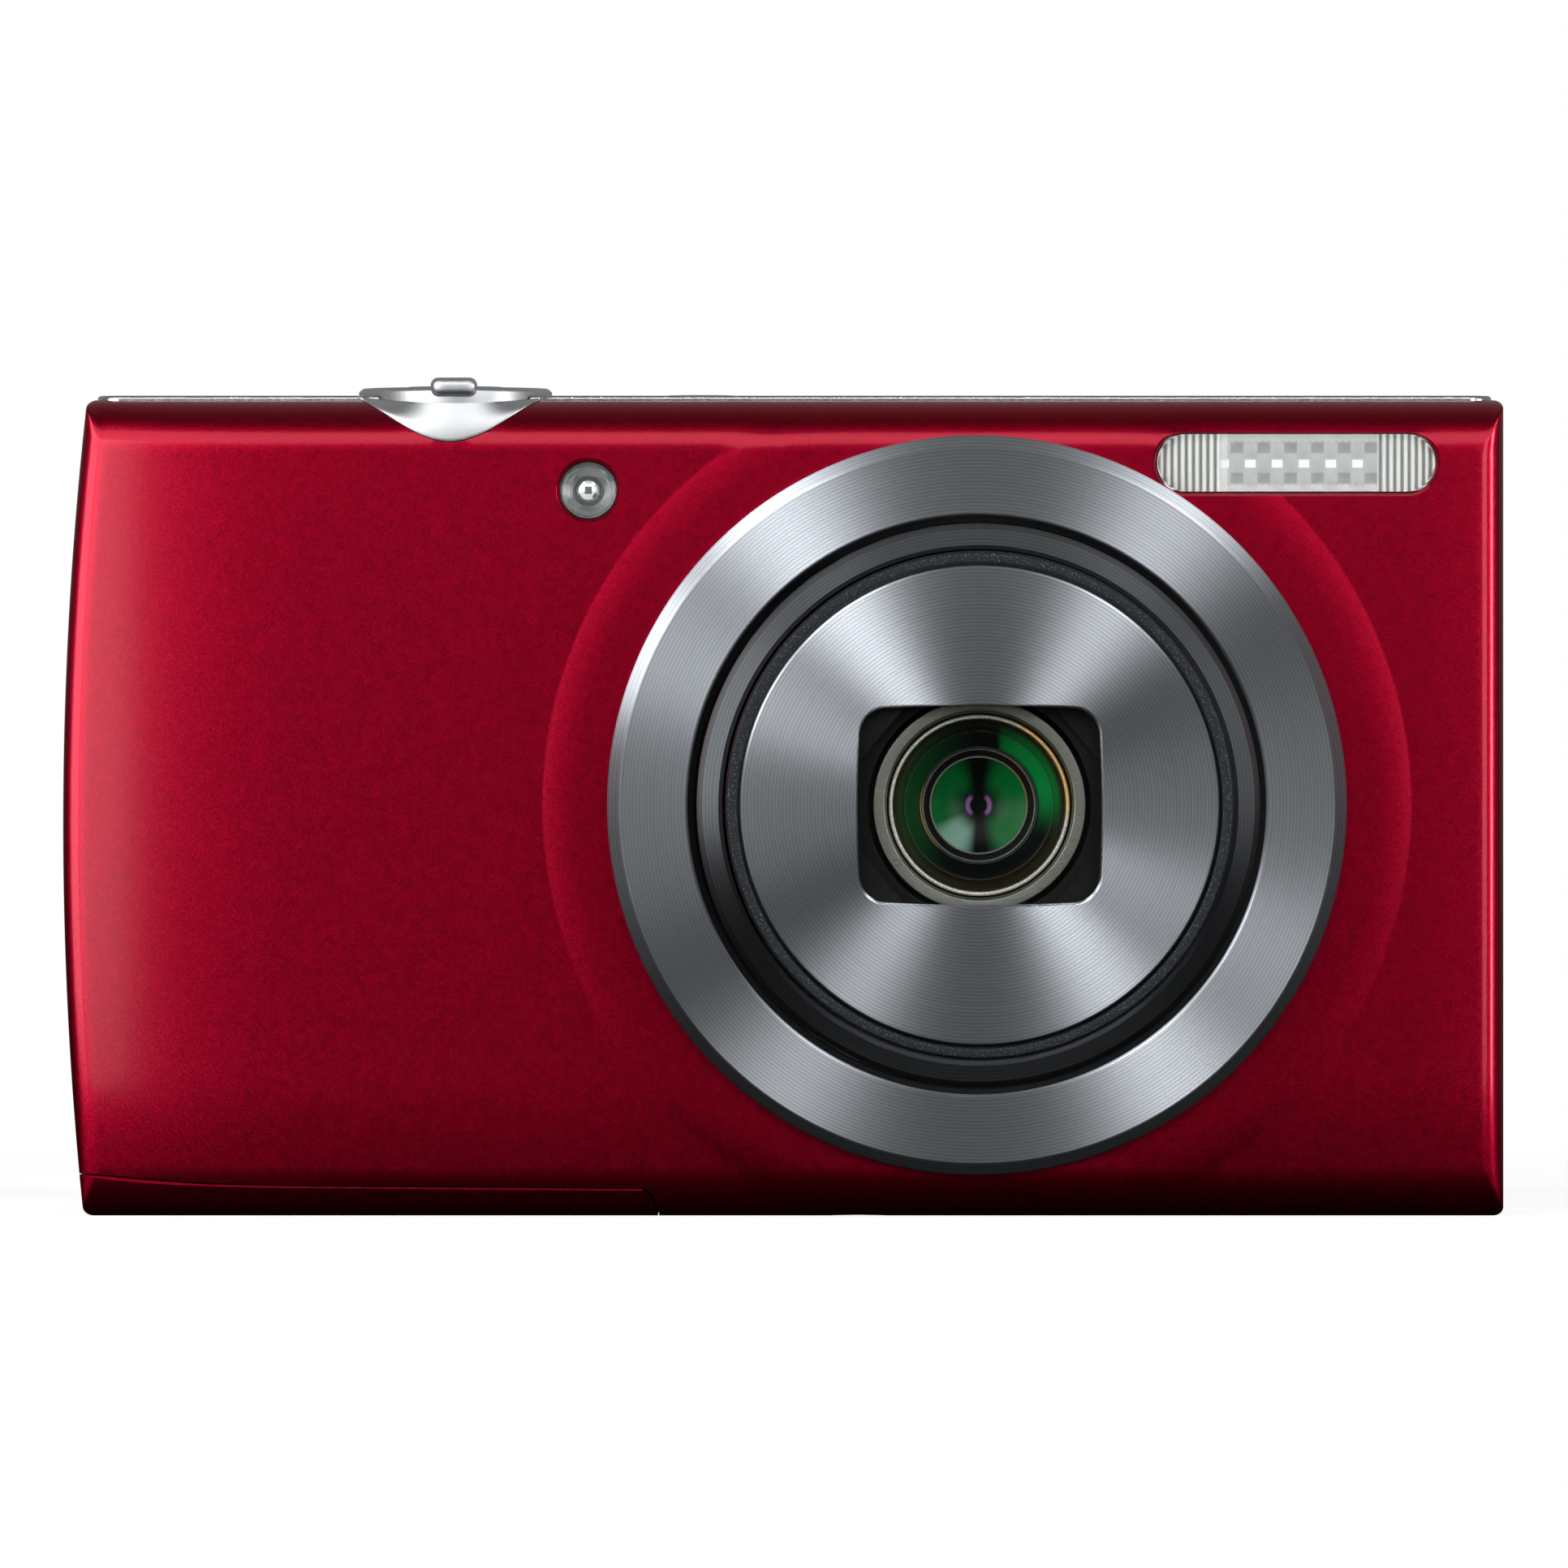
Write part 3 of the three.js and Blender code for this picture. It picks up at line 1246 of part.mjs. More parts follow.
function zoomLever() {
  const hubBottom = plateTop - leverHubDepth;
  const ring = turned([[leverBore, hubBottom], [leverHubRadius, hubBottom],
    [leverHubRadius, leverBottom], [leverRadius, leverBottom], [leverRadius, leverTop - leverEdge],
    [leverRadius - leverEdge, leverTop], [leverBore + slideGap, leverTop], [leverBore, leverTop - slideGap]],
  'z', [shutterX, shutterY, 0], middleSteps);
  const { width, depth, sunk, proud, reach, corner } = leverTab;
  const y0 = shutterY - reach;
  const outline = roundedRectangle(shutterX - width / 2, shutterX + width / 2, y0, y0 + depth, corner);
  return join(ring, prism(outline, 'z', plateTop - sunk, plateTop + proud, 4));
}

function shutterButton() {
  const stemBottom = shutterBottom - shutterStemLength;
  const side = plateTop + shutterSideProud;
  const top = plateTop + shutterProud;
  return turned([[0, stemBottom], [shutterStemRadius, stemBottom], [shutterStemRadius, shutterBottom],
    [shutterRadius, shutterBottom], [shutterRadius, side], [shutterRadius * 0.75, (side + 2 * top) / 3],
    [0, top]], 'z', [shutterX, shutterY, 0], middleSteps);
}

function powerButton() {
  const top = plateTop + powerProud;
  const flangeTop = plateBottom - seamGap;
  const outer = powerRadius + powerFlange;
  const flangeBottom = flangeTop - powerFlangeThickness;
  return turned([[0, flangeBottom], [outer, flangeBottom], [outer, flangeTop],
    [powerRadius, flangeTop], [powerRadius, top - powerEdge], [powerRadius - powerEdge, top], [0, top]],
  'z', [powerX, powerY, 0], smallSteps);
}

function speaker() {
  const top = plateBottom - seamGap;
  return turned(disc(speakerRadius, top - speakerHeight, top), 'z', [speakerX, speakerY, 0], smallSteps);
}

// Rear screen and controls

function screenWindow() {
  const outline = roundedRectangle(screen.left, screen.right, screen.bottom, screen.top, screenCorner);
  return prism(outline, 'y', back - screenThickness, back);
}

function screenPanel() {
  const to = back - screenThickness - seamGap;
  return block([screen.left + panelMargin, screen.right - panelMargin], [to - panelThickness, to],
    [screen.bottom + panelMargin, screen.top - panelMargin]);
}

const rearButton = ([x, z]) => turned(buttonProfile(buttonRadius, buttonFlange, buttonProud), 'y', [x, 0, z], smallSteps);
const setButton = () => turned(buttonProfile(setRadius, 0, setProud), 'y', [padX, 0, padZ], smallSteps);

function fourWayPad() {
  const flangeBack = buttonBoardBack + restGap + padPivotThickness + slideGap;
  const bore = setRadius + restGap;
  const outer = padRadius + padFlange;
  const hollow = padRadius - padWall;
  const top = back + padProud;
  const step = flangeBack + padFlangeThickness;
  return turned([[bore, flangeBack + padFloor], [hollow, flangeBack + padFloor], [hollow, flangeBack],
    [outer, flangeBack], [outer, step], [padRadius, step], [padRadius, top - padEdge],
    [padRadius - padEdge, top], [bore, top]], 'y', [padX, 0, padZ], middleSteps);
}

function padPivot() {
  const from = buttonBoardBack + restGap;
  return turned(tube(padPivotRadius, padPivotBore, from, from + padPivotThickness), 'y', [padX, 0, padZ], smallSteps);
}

// Assembly

addPiece('front_cover', frontCover(), 'red');
addPiece('rear_cover', rearCover(), 'red');
addPiece('top_cover', topCover(), 'silver');
addPiece('battery_door', batteryDoor(), 'red');
addPiece('door_hinge_bar', doorHingeBar(), 'steel');
addPiece('terminal_cover', terminalCover(), 'rubber');
addPiece('terminal_connector', terminalConnector(), 'steel');
addPiece('strap_lug', strapLug(), 'steel');
addPiece('tripod_socket', tripodSocket(), 'steel');
addPiece('chassis', chassis(), 'steel');
for (const [name, place] of Object.entries(screws)) addPiece(name, screw(place), 'steel');

addPiece('lens_bezel_ring', lensBezelRing(), 'spun');
addPiece('lens_seal_ring', lensSealRing(), 'rubber');
addPiece('lens_housing', lensHousing(), 'black');
addPiece('lens_base', lensBase(), 'black');
addPiece('image_sensor', imageSensor(), 'label');
addPiece('focus_lens_group', focusLensGroup(), 'black');
addPiece('lens_barrel_1', lensBarrelOne(), 'spun');
addPiece('lens_barrel_2', lensBarrelTwo(), 'graphite');
addPiece('lens_front_trim', lensFrontTrim(), 'spun');
addPiece('barrier_base', barrierBase(), 'black');
addPiece('barrier_blade_upper_left', barrierBlade(-1, 1), 'black');
addPiece('barrier_blade_lower_left', barrierBlade(-1, -1), 'black');
addPiece('barrier_blade_upper_right', barrierBlade(1, 1), 'black');
addPiece('barrier_blade_lower_right', barrierBlade(1, -1), 'black');
addPiece('front_lens_ring', frontLensRing(), 'graphite');
addPiece('front_lens', frontLens(), 'glass');
addPiece('aperture_unit', apertureUnit(), 'black');
addPiece('middle_lens', middleLens(), 'glass');
addPiece('drive_ring', driveRing(), 'black');
addPiece('motor_pinion', motorPinion(), 'brass');
addPiece('zoom_motor', zoomMotor(), 'steel');

addPiece('battery', batteryPack(), 'label');
addPiece('battery_cage', batteryCage(), 'black');
addPiece('battery_lock', batteryLock(), 'contact');
addPiece('card_slot', cardSlot(), 'steel');
addPiece('memory_card', memoryCard(), 'black');
addPiece('main_board', mainBoard(), 'board');
addPiece('top_board', topBoard(), 'board');
addPiece('button_board', buttonBoard(), 'board');

addPiece('flash_window', flashWindow(), 'clear');
addPiece('flash_reflector', flashReflector(), 'silver');
addPiece('flash_tube', flashTube(), 'clear');
addPiece('flash_capacitor', flashCapacitor(), 'black');
addPiece('focus_lamp_window', focusLampWindow(), 'clear');
addPiece('focus_lamp_led', focusLampLed(), 'graphite');

addPiece('zoom_lever', zoomLever(), 'silver');
addPiece('shutter_button', shutterButton(), 'silver');
addPiece('power_button', powerButton(), 'silver');
addPiece('speaker', speaker(), 'black');

addPiece('screen_window', screenWindow(), 'screen');
addPiece('screen_panel', screenPanel(), 'black');
for (const [name, at] of Object.entries(rearButtons)) addPiece(name, rearButton(at), 'graphite');
addPiece('set_button', setButton(), 'graphite');
addPiece('four_way_pad', fourWayPad(), 'silver');
addPiece('pad_pivot', padPivot(), 'black');

export default model;
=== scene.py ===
"""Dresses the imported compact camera: fine shapes and finishes over the CAD frame, and a plain studio.

All the shape code works in millimetres, in the frame's own axes: X to the right, Y to the back, Z up.
"""

import math

import bmesh
import bpy
from mathutils import Matrix, Vector, geometry


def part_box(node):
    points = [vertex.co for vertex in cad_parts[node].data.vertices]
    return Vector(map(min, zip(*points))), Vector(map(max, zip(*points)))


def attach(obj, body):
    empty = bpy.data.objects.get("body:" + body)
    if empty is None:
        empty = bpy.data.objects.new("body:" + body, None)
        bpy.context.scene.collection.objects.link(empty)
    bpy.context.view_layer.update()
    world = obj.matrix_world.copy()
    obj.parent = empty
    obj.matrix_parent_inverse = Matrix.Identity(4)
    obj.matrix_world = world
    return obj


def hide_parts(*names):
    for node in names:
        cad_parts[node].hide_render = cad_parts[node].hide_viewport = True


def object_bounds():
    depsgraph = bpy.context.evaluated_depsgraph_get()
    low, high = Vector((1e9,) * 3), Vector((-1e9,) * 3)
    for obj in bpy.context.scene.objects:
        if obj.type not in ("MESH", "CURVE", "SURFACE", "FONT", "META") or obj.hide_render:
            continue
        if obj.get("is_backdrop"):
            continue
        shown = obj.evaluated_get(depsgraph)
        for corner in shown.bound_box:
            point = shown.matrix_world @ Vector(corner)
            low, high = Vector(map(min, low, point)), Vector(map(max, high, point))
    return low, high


bl_info = {
    "name": "Compact digital camera",
    "version": (1, 0, 0),
    "blender": (4, 5, 0),
    "location": "View3D > Sidebar > Camera",
    "description": "Fine shapes, finishes and a studio for the packed compact camera",
    "category": "Object",
}

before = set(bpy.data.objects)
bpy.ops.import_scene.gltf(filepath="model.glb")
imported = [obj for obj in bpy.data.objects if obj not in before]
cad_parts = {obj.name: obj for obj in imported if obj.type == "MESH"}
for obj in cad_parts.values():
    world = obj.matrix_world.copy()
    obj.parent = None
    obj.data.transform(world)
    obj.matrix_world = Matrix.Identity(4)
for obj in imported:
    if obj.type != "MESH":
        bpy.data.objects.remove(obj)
CAD_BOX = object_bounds()

MM = 0.001
TURN = 2 * math.pi


# Settings that a user may change


def linear(hex_colour):
    """A colour such as #a80a26, as Blender's linear red, green and blue."""
    values = [int(hex_colour[i : i + 2], 16) / 255 for i in (1, 3, 5)]
    return tuple(v / 12.92 if v < 0.04045 else ((v + 0.055) / 1.055) ** 2.4 for v in values)


def colour_property(name, description, hex_colour):
    return bpy.props.FloatVectorProperty(
        name=name, description=description, subtype="COLOR", min=0, max=1, default=linear(hex_colour)
    )


def length_property(name, description, millimetres):
    return bpy.props.FloatProperty(
        name=name, description=description, unit="LENGTH", precision=5, min=0, default=millimetres * MM
    )


def dimmed(colour, share):
    """A darker tone of a colour."""
    return tuple(c * share for c in colour)


class BodyLook(bpy.types.PropertyGroup):
    """Sizes and colours of the painted covers."""

    paint: colour_property("Paint", "Colour of the metallic paint", "#b0002a")
    flake: length_property("Flake", "Size of the flakes in the paint", 0.06)
    band_rise: length_property("Band rise", "How far the band round the lens stands up", 0.11)
    band_inner: length_property("Band inner radius", "Where the band begins to slope down", 26.3)
    band_outer: length_property("Band outer radius", "Where the band meets the flat front", 28.7)
    wall: length_property("Wall", "Thickness of the covers", 1.2)
    seam: length_property("Seam", "Width of the gap between covers and door", 0.09)


class LensLook(bpy.types.PropertyGroup):
    """Sizes and colours of the lens."""

    metal: colour_property("Metal", "Colour of the spun rings", "#93979c")
    groove: length_property("Groove pitch", "Distance from one spun groove to the next", 0.23)
    bezel_radius: length_property("Bezel radius", "Outer radius of the bezel ring", 24.39)
    opening_width: length_property("Opening width", "Width of the opening in the front disc", 15.89)
    opening_height: length_property("Opening height", "Height of the opening in the front disc", 12.95)
    # The coating colour is painted into the lens glass as its reflections.
    coating: colour_property("Coating", "Colour that the coated glass reflects", "#0ca24a")


class TopLook(bpy.types.PropertyGroup):
    """Sizes and colours of the top plate and its controls."""

    silver: colour_property("Silver", "Colour of the top plate and buttons", "#cfd1d3")
    lever_radius: length_property("Lever radius", "Outer radius of the zoom lever", 6.41)
    edge: length_property("Edge", "Rounding of the plate's edges", 0.22)


class StudioLook(bpy.types.PropertyGroup):
    """The camera and lights of the studio."""

    distance: length_property("Distance", "From the viewer to the middle of the body", 1248)
    lens: bpy.props.FloatProperty(
        name="Lens", description="Focal length of the viewing camera, in mm", default=430.56)
    light: bpy.props.FloatProperty(
        name="Light", description="Strength of every lamp, as a share", default=1.0, min=0)


def mm(look, name):
    """A length setting in millimetres."""
    return getattr(look, name) / MM


def corners(node):
    """The low and high corners of a CAD node's box, in millimetres."""
    low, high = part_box(node)
    return low / MM, high / MM


def middle_of(node):
    low, high = corners(node)
    return (low + high) / 2


def line_through(node):
    """A point on the line that runs from front to back through a CAD node's middle."""
    middle = middle_of(node)
    return (middle.x, 0, middle.z)


# Shader nodes


class Value:
    """The number on a socket. Python's operators on it add Math nodes."""

    def __init__(self, nodes, socket):
        self.nodes = nodes
        self.socket = socket

    def maths(self, operation, *inputs):
        return self.nodes.add("ShaderNodeMath", {"operation": operation}, dict(enumerate(inputs)))[0]

    def __add__(self, other):
        return self.maths("ADD", self, other)

    def __sub__(self, other):
        return self.maths("SUBTRACT", self, other)

    def __rsub__(self, other):
        return self.maths("SUBTRACT", other, self)

    def __mul__(self, other):
        return self.maths("MULTIPLY", self, other)

    def __truediv__(self, other):
        return self.maths("DIVIDE", self, other)

    __radd__ = __add__
    __rmul__ = __mul__

    def sine(self):
        return self.maths("SINE", self)

    def size(self):
        return self.maths("ABSOLUTE", self)

    def most(self, other):
        return self.maths("MAXIMUM", self, other)

    def least(self, other):
        return self.maths("MINIMUM", self, other)

    def ramp(self, low, high, start=0.0, end=1.0):
        """Goes smoothly from start to end as this value goes from low to high."""
        sockets = {"Value": self, "From Min": low, "From Max": high, "To Min": start, "To Max": end}
        return self.nodes.add("ShaderNodeMapRange", {"interpolation_type": "SMOOTHSTEP"}, sockets)["Result"]


class Made:
    """A node that was added. Its outputs are read by name or number, as Values."""

    def __init__(self, nodes, node):
        self.nodes = nodes
        self.node = node

    def __getitem__(self, key):
        return Value(self.nodes, self.node.outputs[key])


class Nodes:
    """The node tree of a material or world, started empty."""

    def __init__(self, owner):
        owner.use_nodes = True
        self.owner = owner
        self.tree = owner.node_tree
        self.tree.nodes.clear()

    def add(self, kind, settings=None, sockets=None):
        """Adds a node of a type, with its settings first and then the values or links of its sockets."""
        node = self.tree.nodes.new(kind)
        for name, value in (settings or {}).items():
            setattr(node, name, value)
        for key, value in (sockets or {}).items():
            if isinstance(value, Value):
                self.tree.links.new(value.socket, node.inputs[key])
            else:
                node.inputs[key].default_value = value
        return Made(self, node)

    def vector(self, operation, *inputs, scale=1.0):
        sockets = dict(enumerate(inputs))
        if operation == "SCALE":
            sockets[3] = scale
        return self.add("ShaderNodeVectorMath", {"operation": operation}, sockets)[0]

    def blend(self, factor, first, second):
        """One colour turning into another as factor goes from 0 to 1."""
        first, second = [c if isinstance(c, Value) else (*c, 1) for c in (first, second)]
        return self.add("ShaderNodeMix", {"data_type": "RGBA"}, {0: factor, 6: first, 7: second})[2]

    def place(self):
        return self.add("ShaderNodeTexCoord")["Object"]

    def length(self, vector):
        return self.add("ShaderNodeVectorMath", {"operation": "LENGTH"}, {0: vector})["Value"]

    def toward(self, flat, x, y):
        """How nearly a place lies in a direction from the local Z axis, from -1 to 1."""
        way = self.vector("NORMALIZE", flat)
        return self.add("ShaderNodeVectorMath", {"operation": "DOT_PRODUCT"}, {0: way, 1: (x, y, 0)})["Value"]

    def noise(self, size, detail=2.0, vector=None):
        """Smooth random values from 0 to 1, with lumps of a size in millimetres."""
        sockets = {"Vector": vector or self.place(), "Scale": 1 / (size * MM), "Detail": detail}
        return self.add("ShaderNodeTexNoise", {}, sockets)[0]

    def bump(self, height, depth, strength=1.0, normal=None):
        """The normal of a surface that rises by depth millimetres as height goes from 0 to 1."""
        sockets = {"Height": height, "Distance": depth * MM, "Strength": strength}
        if normal:
            sockets["Normal"] = normal
        return self.add("ShaderNodeBump", {}, sockets)[0]

    def surface(self, **sockets):
        """The shader itself. Its sockets are given with underscores for spaces."""
        named = {name.replace("_", " "): value for name, value in sockets.items()}
        for name in ("Base Color", "Emission Color", "Coat Tint"):
            if name in named and not isinstance(named[name], Value):
                named[name] = (*named[name][:3], 1)
        shader = self.add("ShaderNodeBsdfPrincipled", {}, named)[0]
        self.add("ShaderNodeOutputMaterial", {}, {"Surface": shader})
        return self.owner


def new_nodes(name):
    return Nodes(bpy.data.materials.new(name))


# Finishes. Each is made once and kept by name.

FINISHES = {}


def finish(name):
    return FINISHES[name]


def make_red_paint(look):
    """Metallic paint: fine flakes that each tilt their own way in a translucent red, under a clear coat."""
    n = new_nodes("red_paint")
    cells = n.add("ShaderNodeTexVoronoi", {}, {"Vector": n.place(), "Scale": 1 / look.flake})["Color"]
    tilt = n.vector("SCALE", n.vector("SUBTRACT", cells, (0.5, 0.5, 0.5)), scale=0.08)
    normal = n.vector("NORMALIZE", n.vector("ADD", n.add("ShaderNodeNewGeometry")["Normal"], tilt))
    facing = n.add("ShaderNodeLayerWeight", {}, {"Blend": 0.35})["Facing"]
    paint = tuple(look.paint)
    cloud = n.noise(14).ramp(0.3, 0.7)
    base = n.blend(facing, n.blend(cloud * 0.2, paint, dimmed(paint, 0.85)), dimmed(paint, 0.42))
    rough = n.noise(0.6).ramp(0.2, 0.8, 0.31, 0.36)
    return n.surface(Base_Color=base, Metallic=0.97, Roughness=rough, Normal=normal, Specular_IOR_Level=0.5,
                     Coat_Weight=0.5, Coat_Roughness=0.14, Coat_IOR=1.5)


def make_spun_metal(look, name="spun_aluminium", shade=1.0, rough=0.4, depth=0.0025):
    """Metal turned on a lathe: fine rings round the local Z axis, and light that spreads across them."""
    n = new_nodes(name)
    place = n.place()
    radius = n.length(n.vector("MULTIPLY", place, (1, 1, 0)))
    rings = (radius * (TURN / look.groove)).sine()
    tool_marks = {"W": radius, "Scale": 2600, "Detail": 2.0}
    uneven = n.add("ShaderNodeTexNoise", {"noise_dimensions": "1D"}, tool_marks)[0]
    height = rings * 0.5 + uneven * 0.5
    metal = dimmed(look.metal, shade)
    base = n.blend(rings * 0.36 + 0.36 + uneven * 0.28, dimmed(metal, 0.68), metal)
    return n.surface(Base_Color=base, Metallic=1.0, Roughness=rough, Normal=n.bump(height, depth),
                     Anisotropic=0.95, Anisotropic_Rotation=0.25)


def make_metal(name, colour, rough, grain=0.25, depth=0.002, stretch=None):
    """Plain or brushed metal. Stretch draws the grain out along an axis."""
    n = new_nodes(name)
    place = n.place()
    if stretch:
        place = n.vector("MULTIPLY", place, stretch)
    fine = n.noise(grain, 3.0, place)
    patches = n.noise(9)
    shade = n.blend(patches.ramp(0.3, 0.7), colour, dimmed(colour, 0.88))
    gloss = fine.ramp(0.25, 0.75, rough * 0.85, rough * 1.15)
    return n.surface(Base_Color=shade, Metallic=1.0, Roughness=gloss, Normal=n.bump(fine, depth))


def make_plastic(name, colour, rough, grain=0.35, depth=0.01, spec=0.5):
    """Moulded plastic or rubber with the fine grain of its mould."""
    n = new_nodes(name)
    fine = n.noise(grain, 3.0)
    patches = n.noise(11)
    shade = n.blend(patches.ramp(0.3, 0.7), colour, dimmed(colour, 0.85))
    gloss = fine.ramp(0.25, 0.75, rough * 0.9, rough * 1.1)
    return n.surface(Base_Color=shade, Metallic=0.0, Roughness=gloss, Normal=n.bump(fine, depth),
                     Specular_IOR_Level=spec)


def make_graphite(name, colour, rough=0.5):
    """Dark metal with a coarse sparkling grain."""
    n = new_nodes(name)
    grain = n.noise(0.16, 4.0)
    specks = n.noise(0.09, 1.0).ramp(0.6, 0.72)
    shade = n.blend(specks, colour, tuple(min(1, c * 4 + 0.03) for c in colour))
    return n.surface(Base_Color=shade, Metallic=0.75, Roughness=rough, Normal=n.bump(grain, 0.02))


def make_glass(name, tint, ior=1.5, rough=0.01):
    """Clear glass or plastic, with the faintest unevenness."""
    n = new_nodes(name)
    smear = n.noise(4).ramp(0.3, 0.8, rough, rough * 2.5)
    return n.surface(Base_Color=tint, Roughness=smear, IOR=ior, Transmission_Weight=1.0)


def make_film_glass(name):
    """Coated front glass: clear where it faces the eye, and a dark sheen where it turns away."""
    n = new_nodes(name)
    facing = n.add("ShaderNodeLayerWeight", {}, {"Blend": 0.4})["Facing"]
    smear = n.noise(4).ramp(0.3, 0.8, 0.02, 0.05)
    cover = facing.ramp(0.0, 0.8, 0.10, 0.6)
    return n.surface(Base_Color=(0.008, 0.010, 0.010), Roughness=smear, Alpha=cover, Specular_IOR_Level=0.9)


def make_lens_ring(name, metal, gold, way):
    """A beaded metal ring in the lens, with a painted gold reflection towards one side."""
    n = new_nodes(name)
    place = n.vector("MULTIPLY", n.place(), (1, 1, 0))
    beads = n.noise(0.14, 2.0)
    shade = n.blend(beads.ramp(0.3, 0.7), dimmed(metal, 0.6), metal)
    # The gold towards one side is a painted reflection, not the ring's own colour.
    base = n.blend(n.toward(place, *way).ramp(0.72, 0.92), shade, gold)
    return n.surface(Base_Color=base, Metallic=0.6, Roughness=0.32, Normal=n.bump(beads, 0.03))


def make_coated_lens(look):
    """Coated glass in the lens, whose colour holds painted reflections: green to both sides, whitish low on
    the left and purple round the middle.
    """
    n = new_nodes("coated_glass")
    place = n.vector("MULTIPLY", n.place(), (1, 1, 0))
    radius = n.length(place)
    green = tuple(look.coating)
    sideways = n.add("ShaderNodeSeparateXYZ", {}, {0: place})[0]
    across = sideways.size() / radius
    inner = 1 - radius.ramp(0.0030, 0.0034)
    outer = radius.ramp(0.0032, 0.0042) * (1 - radius.ramp(0.0050, 0.0056))
    # Painted reflections, each as a mask: a green arc to the upper right, a faint green sheen on the left,
    # green to both sides of the middle, a whitish glint low on the left and purple arcs near the middle.
    crescent_glint = outer * n.toward(place, 0.80, 0.60).ramp(0.35, 1.0) * sideways.ramp(0.0010, 0.0016)
    left_green_sheen = outer * n.toward(place, -0.95, 0.25).ramp(0.2, 1.0) * 0.16
    bowl = inner * across.ramp(0.12, 0.62) * radius.ramp(0.0006, 0.0020)
    pale_glint = inner * n.toward(place, -0.60, -0.80).ramp(0.84, 1.0) * radius.ramp(0.0008, 0.0021)
    violet_reflection = across.ramp(0.45, 0.85) * radius.ramp(0.0005, 0.00066) * (1 - radius.ramp(0.00078, 0.00094))
    olive = n.blend(radius.ramp(0.0044, 0.0052), (0.004, 0.006, 0.006), (0.022, 0.015, 0.008))
    dark = n.blend(inner, olive, (0.003, 0.004, 0.004))
    # These blends paint the reflections into the glass's colour.
    base = n.blend(bowl * 0.7, dark, dimmed(green, 0.75))
    base = n.blend(left_green_sheen + crescent_glint * crescent_glint, base, green)
    base = n.blend(pale_glint * 0.75, base, (0.42, 0.72, 0.62))
    base = n.blend(violet_reflection * 0.85, base, (0.46, 0.20, 0.56))
    return n.surface(Base_Color=base, Metallic=0.0, Roughness=0.25, Specular_IOR_Level=0.2)


# The flash optic: the pitch of its ribs and of its facets, where the first facet begins, left of the middle,
# the middle of all the facets, and how far they reach from it
RIB_PITCH, FACET_PITCH, FACET_START, FACETS_MIDDLE, FACETS_REACH = 0.475, 1.77, 4.35, 0.2, 5.2


def make_flash_prism():
    """Moulded flash optic: upright ribs at both ends, and rows of small squares between them. Its light and
    dark tones are painted highlights and shade: stripes on the ribs, dark squares, bright dots and a bright
    upright band.
    """
    n = new_nodes("flash_prism")
    low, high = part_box("flash_window")
    across, _, up = [n.add("ShaderNodeSeparateXYZ", {}, {0: n.place()})[i] for i in range(3)]
    x = (across - (low.x + high.x) / 2) / MM
    z = (up - (low.z + high.z) / 2) / MM
    ends = (x - FACETS_MIDDLE).size().ramp(FACETS_REACH - 0.1, FACETS_REACH + 0.1)
    ribs = (x * (TURN / RIB_PITCH)).sine() * 0.5 + 0.5
    wave = ((x + FACET_START) * (TURN / FACET_PITCH)).sine()
    squares = wave.ramp(-0.1, 0.25) * ((z.size() - 1.0).size() * -1).ramp(-0.42, -0.28)
    glint_spots = (wave * -1).ramp(0.15, 0.5) * ((z + 0.04).size() * -1).ramp(-0.32, -0.2)
    scallop = (z.size() + ((x * (TURN * 2 / FACET_PITCH)).sine().size()) * 0.14).ramp(1.5, 1.6)
    highlight_column = ((x + 4.85).size() * -1).ramp(-0.36, -0.28)
    # Painted shade and highlights: the squares are darkened, and the dots and the upright band near the left
    # end are lightened.
    base = n.blend(squares * 0.6, (0.42, 0.43, 0.42), (0.16, 0.16, 0.16))
    base = n.blend(glint_spots, base, (0.95, 0.95, 0.92))
    base = n.blend(scallop * 0.6, base, (0.60, 0.61, 0.58))
    base = n.blend(highlight_column * 0.6, base, (0.70, 0.72, 0.70))
    # The light and dark stripes on the ribs are painted highlights and shade.
    base = n.blend(ends, base, n.blend(ribs.ramp(0.15, 0.75), (0.20, 0.20, 0.19), (0.72, 0.73, 0.70)))
    return n.surface(Base_Color=base, Metallic=0.0, Roughness=0.3, Specular_IOR_Level=0.6)


def make_screen_glass():
    """Dark glass over the display, which shows a little lighter than its black border."""
    n = new_nodes("screen_glass")
    x, _, z = [n.add("ShaderNodeSeparateXYZ", {}, {0: n.place()})[i] for i in range(3)]
    middle = middle_of("screen_window")
    across = (x - middle.x * MM).size().ramp(26.4 * MM, 26.6 * MM)
    up = (z - middle.z * MM).size().ramp(19.4 * MM, 19.6 * MM)
    base = n.blend(across.most(up), (0.022, 0.024, 0.03), (0.004, 0.004, 0.005))
    smear = n.noise(7).ramp(0.35, 0.75, 0.03, 0.09)
    return n.surface(Base_Color=base, Roughness=smear, Coat_Weight=1.0, Coat_Roughness=0.02)


def make_board():
    """Green circuit board with copper tracks under the lacquer."""
    n = new_nodes("circuit_board")
    brick = n.add("ShaderNodeTexBrick", {"offset": 0.37}, {
        "Vector": n.place(), "Scale": 900.0, "Mortar Size": 0.05, "Mortar": (0.05, 0.20, 0.07, 1),
        "Color1": (0.016, 0.10, 0.04, 1), "Color2": (0.02, 0.13, 0.05, 1)})
    return n.surface(Base_Color=brick["Color"], Roughness=0.4, Normal=n.bump(brick["Fac"], 0.02),
                     Coat_Weight=0.4, Coat_Roughness=0.2)


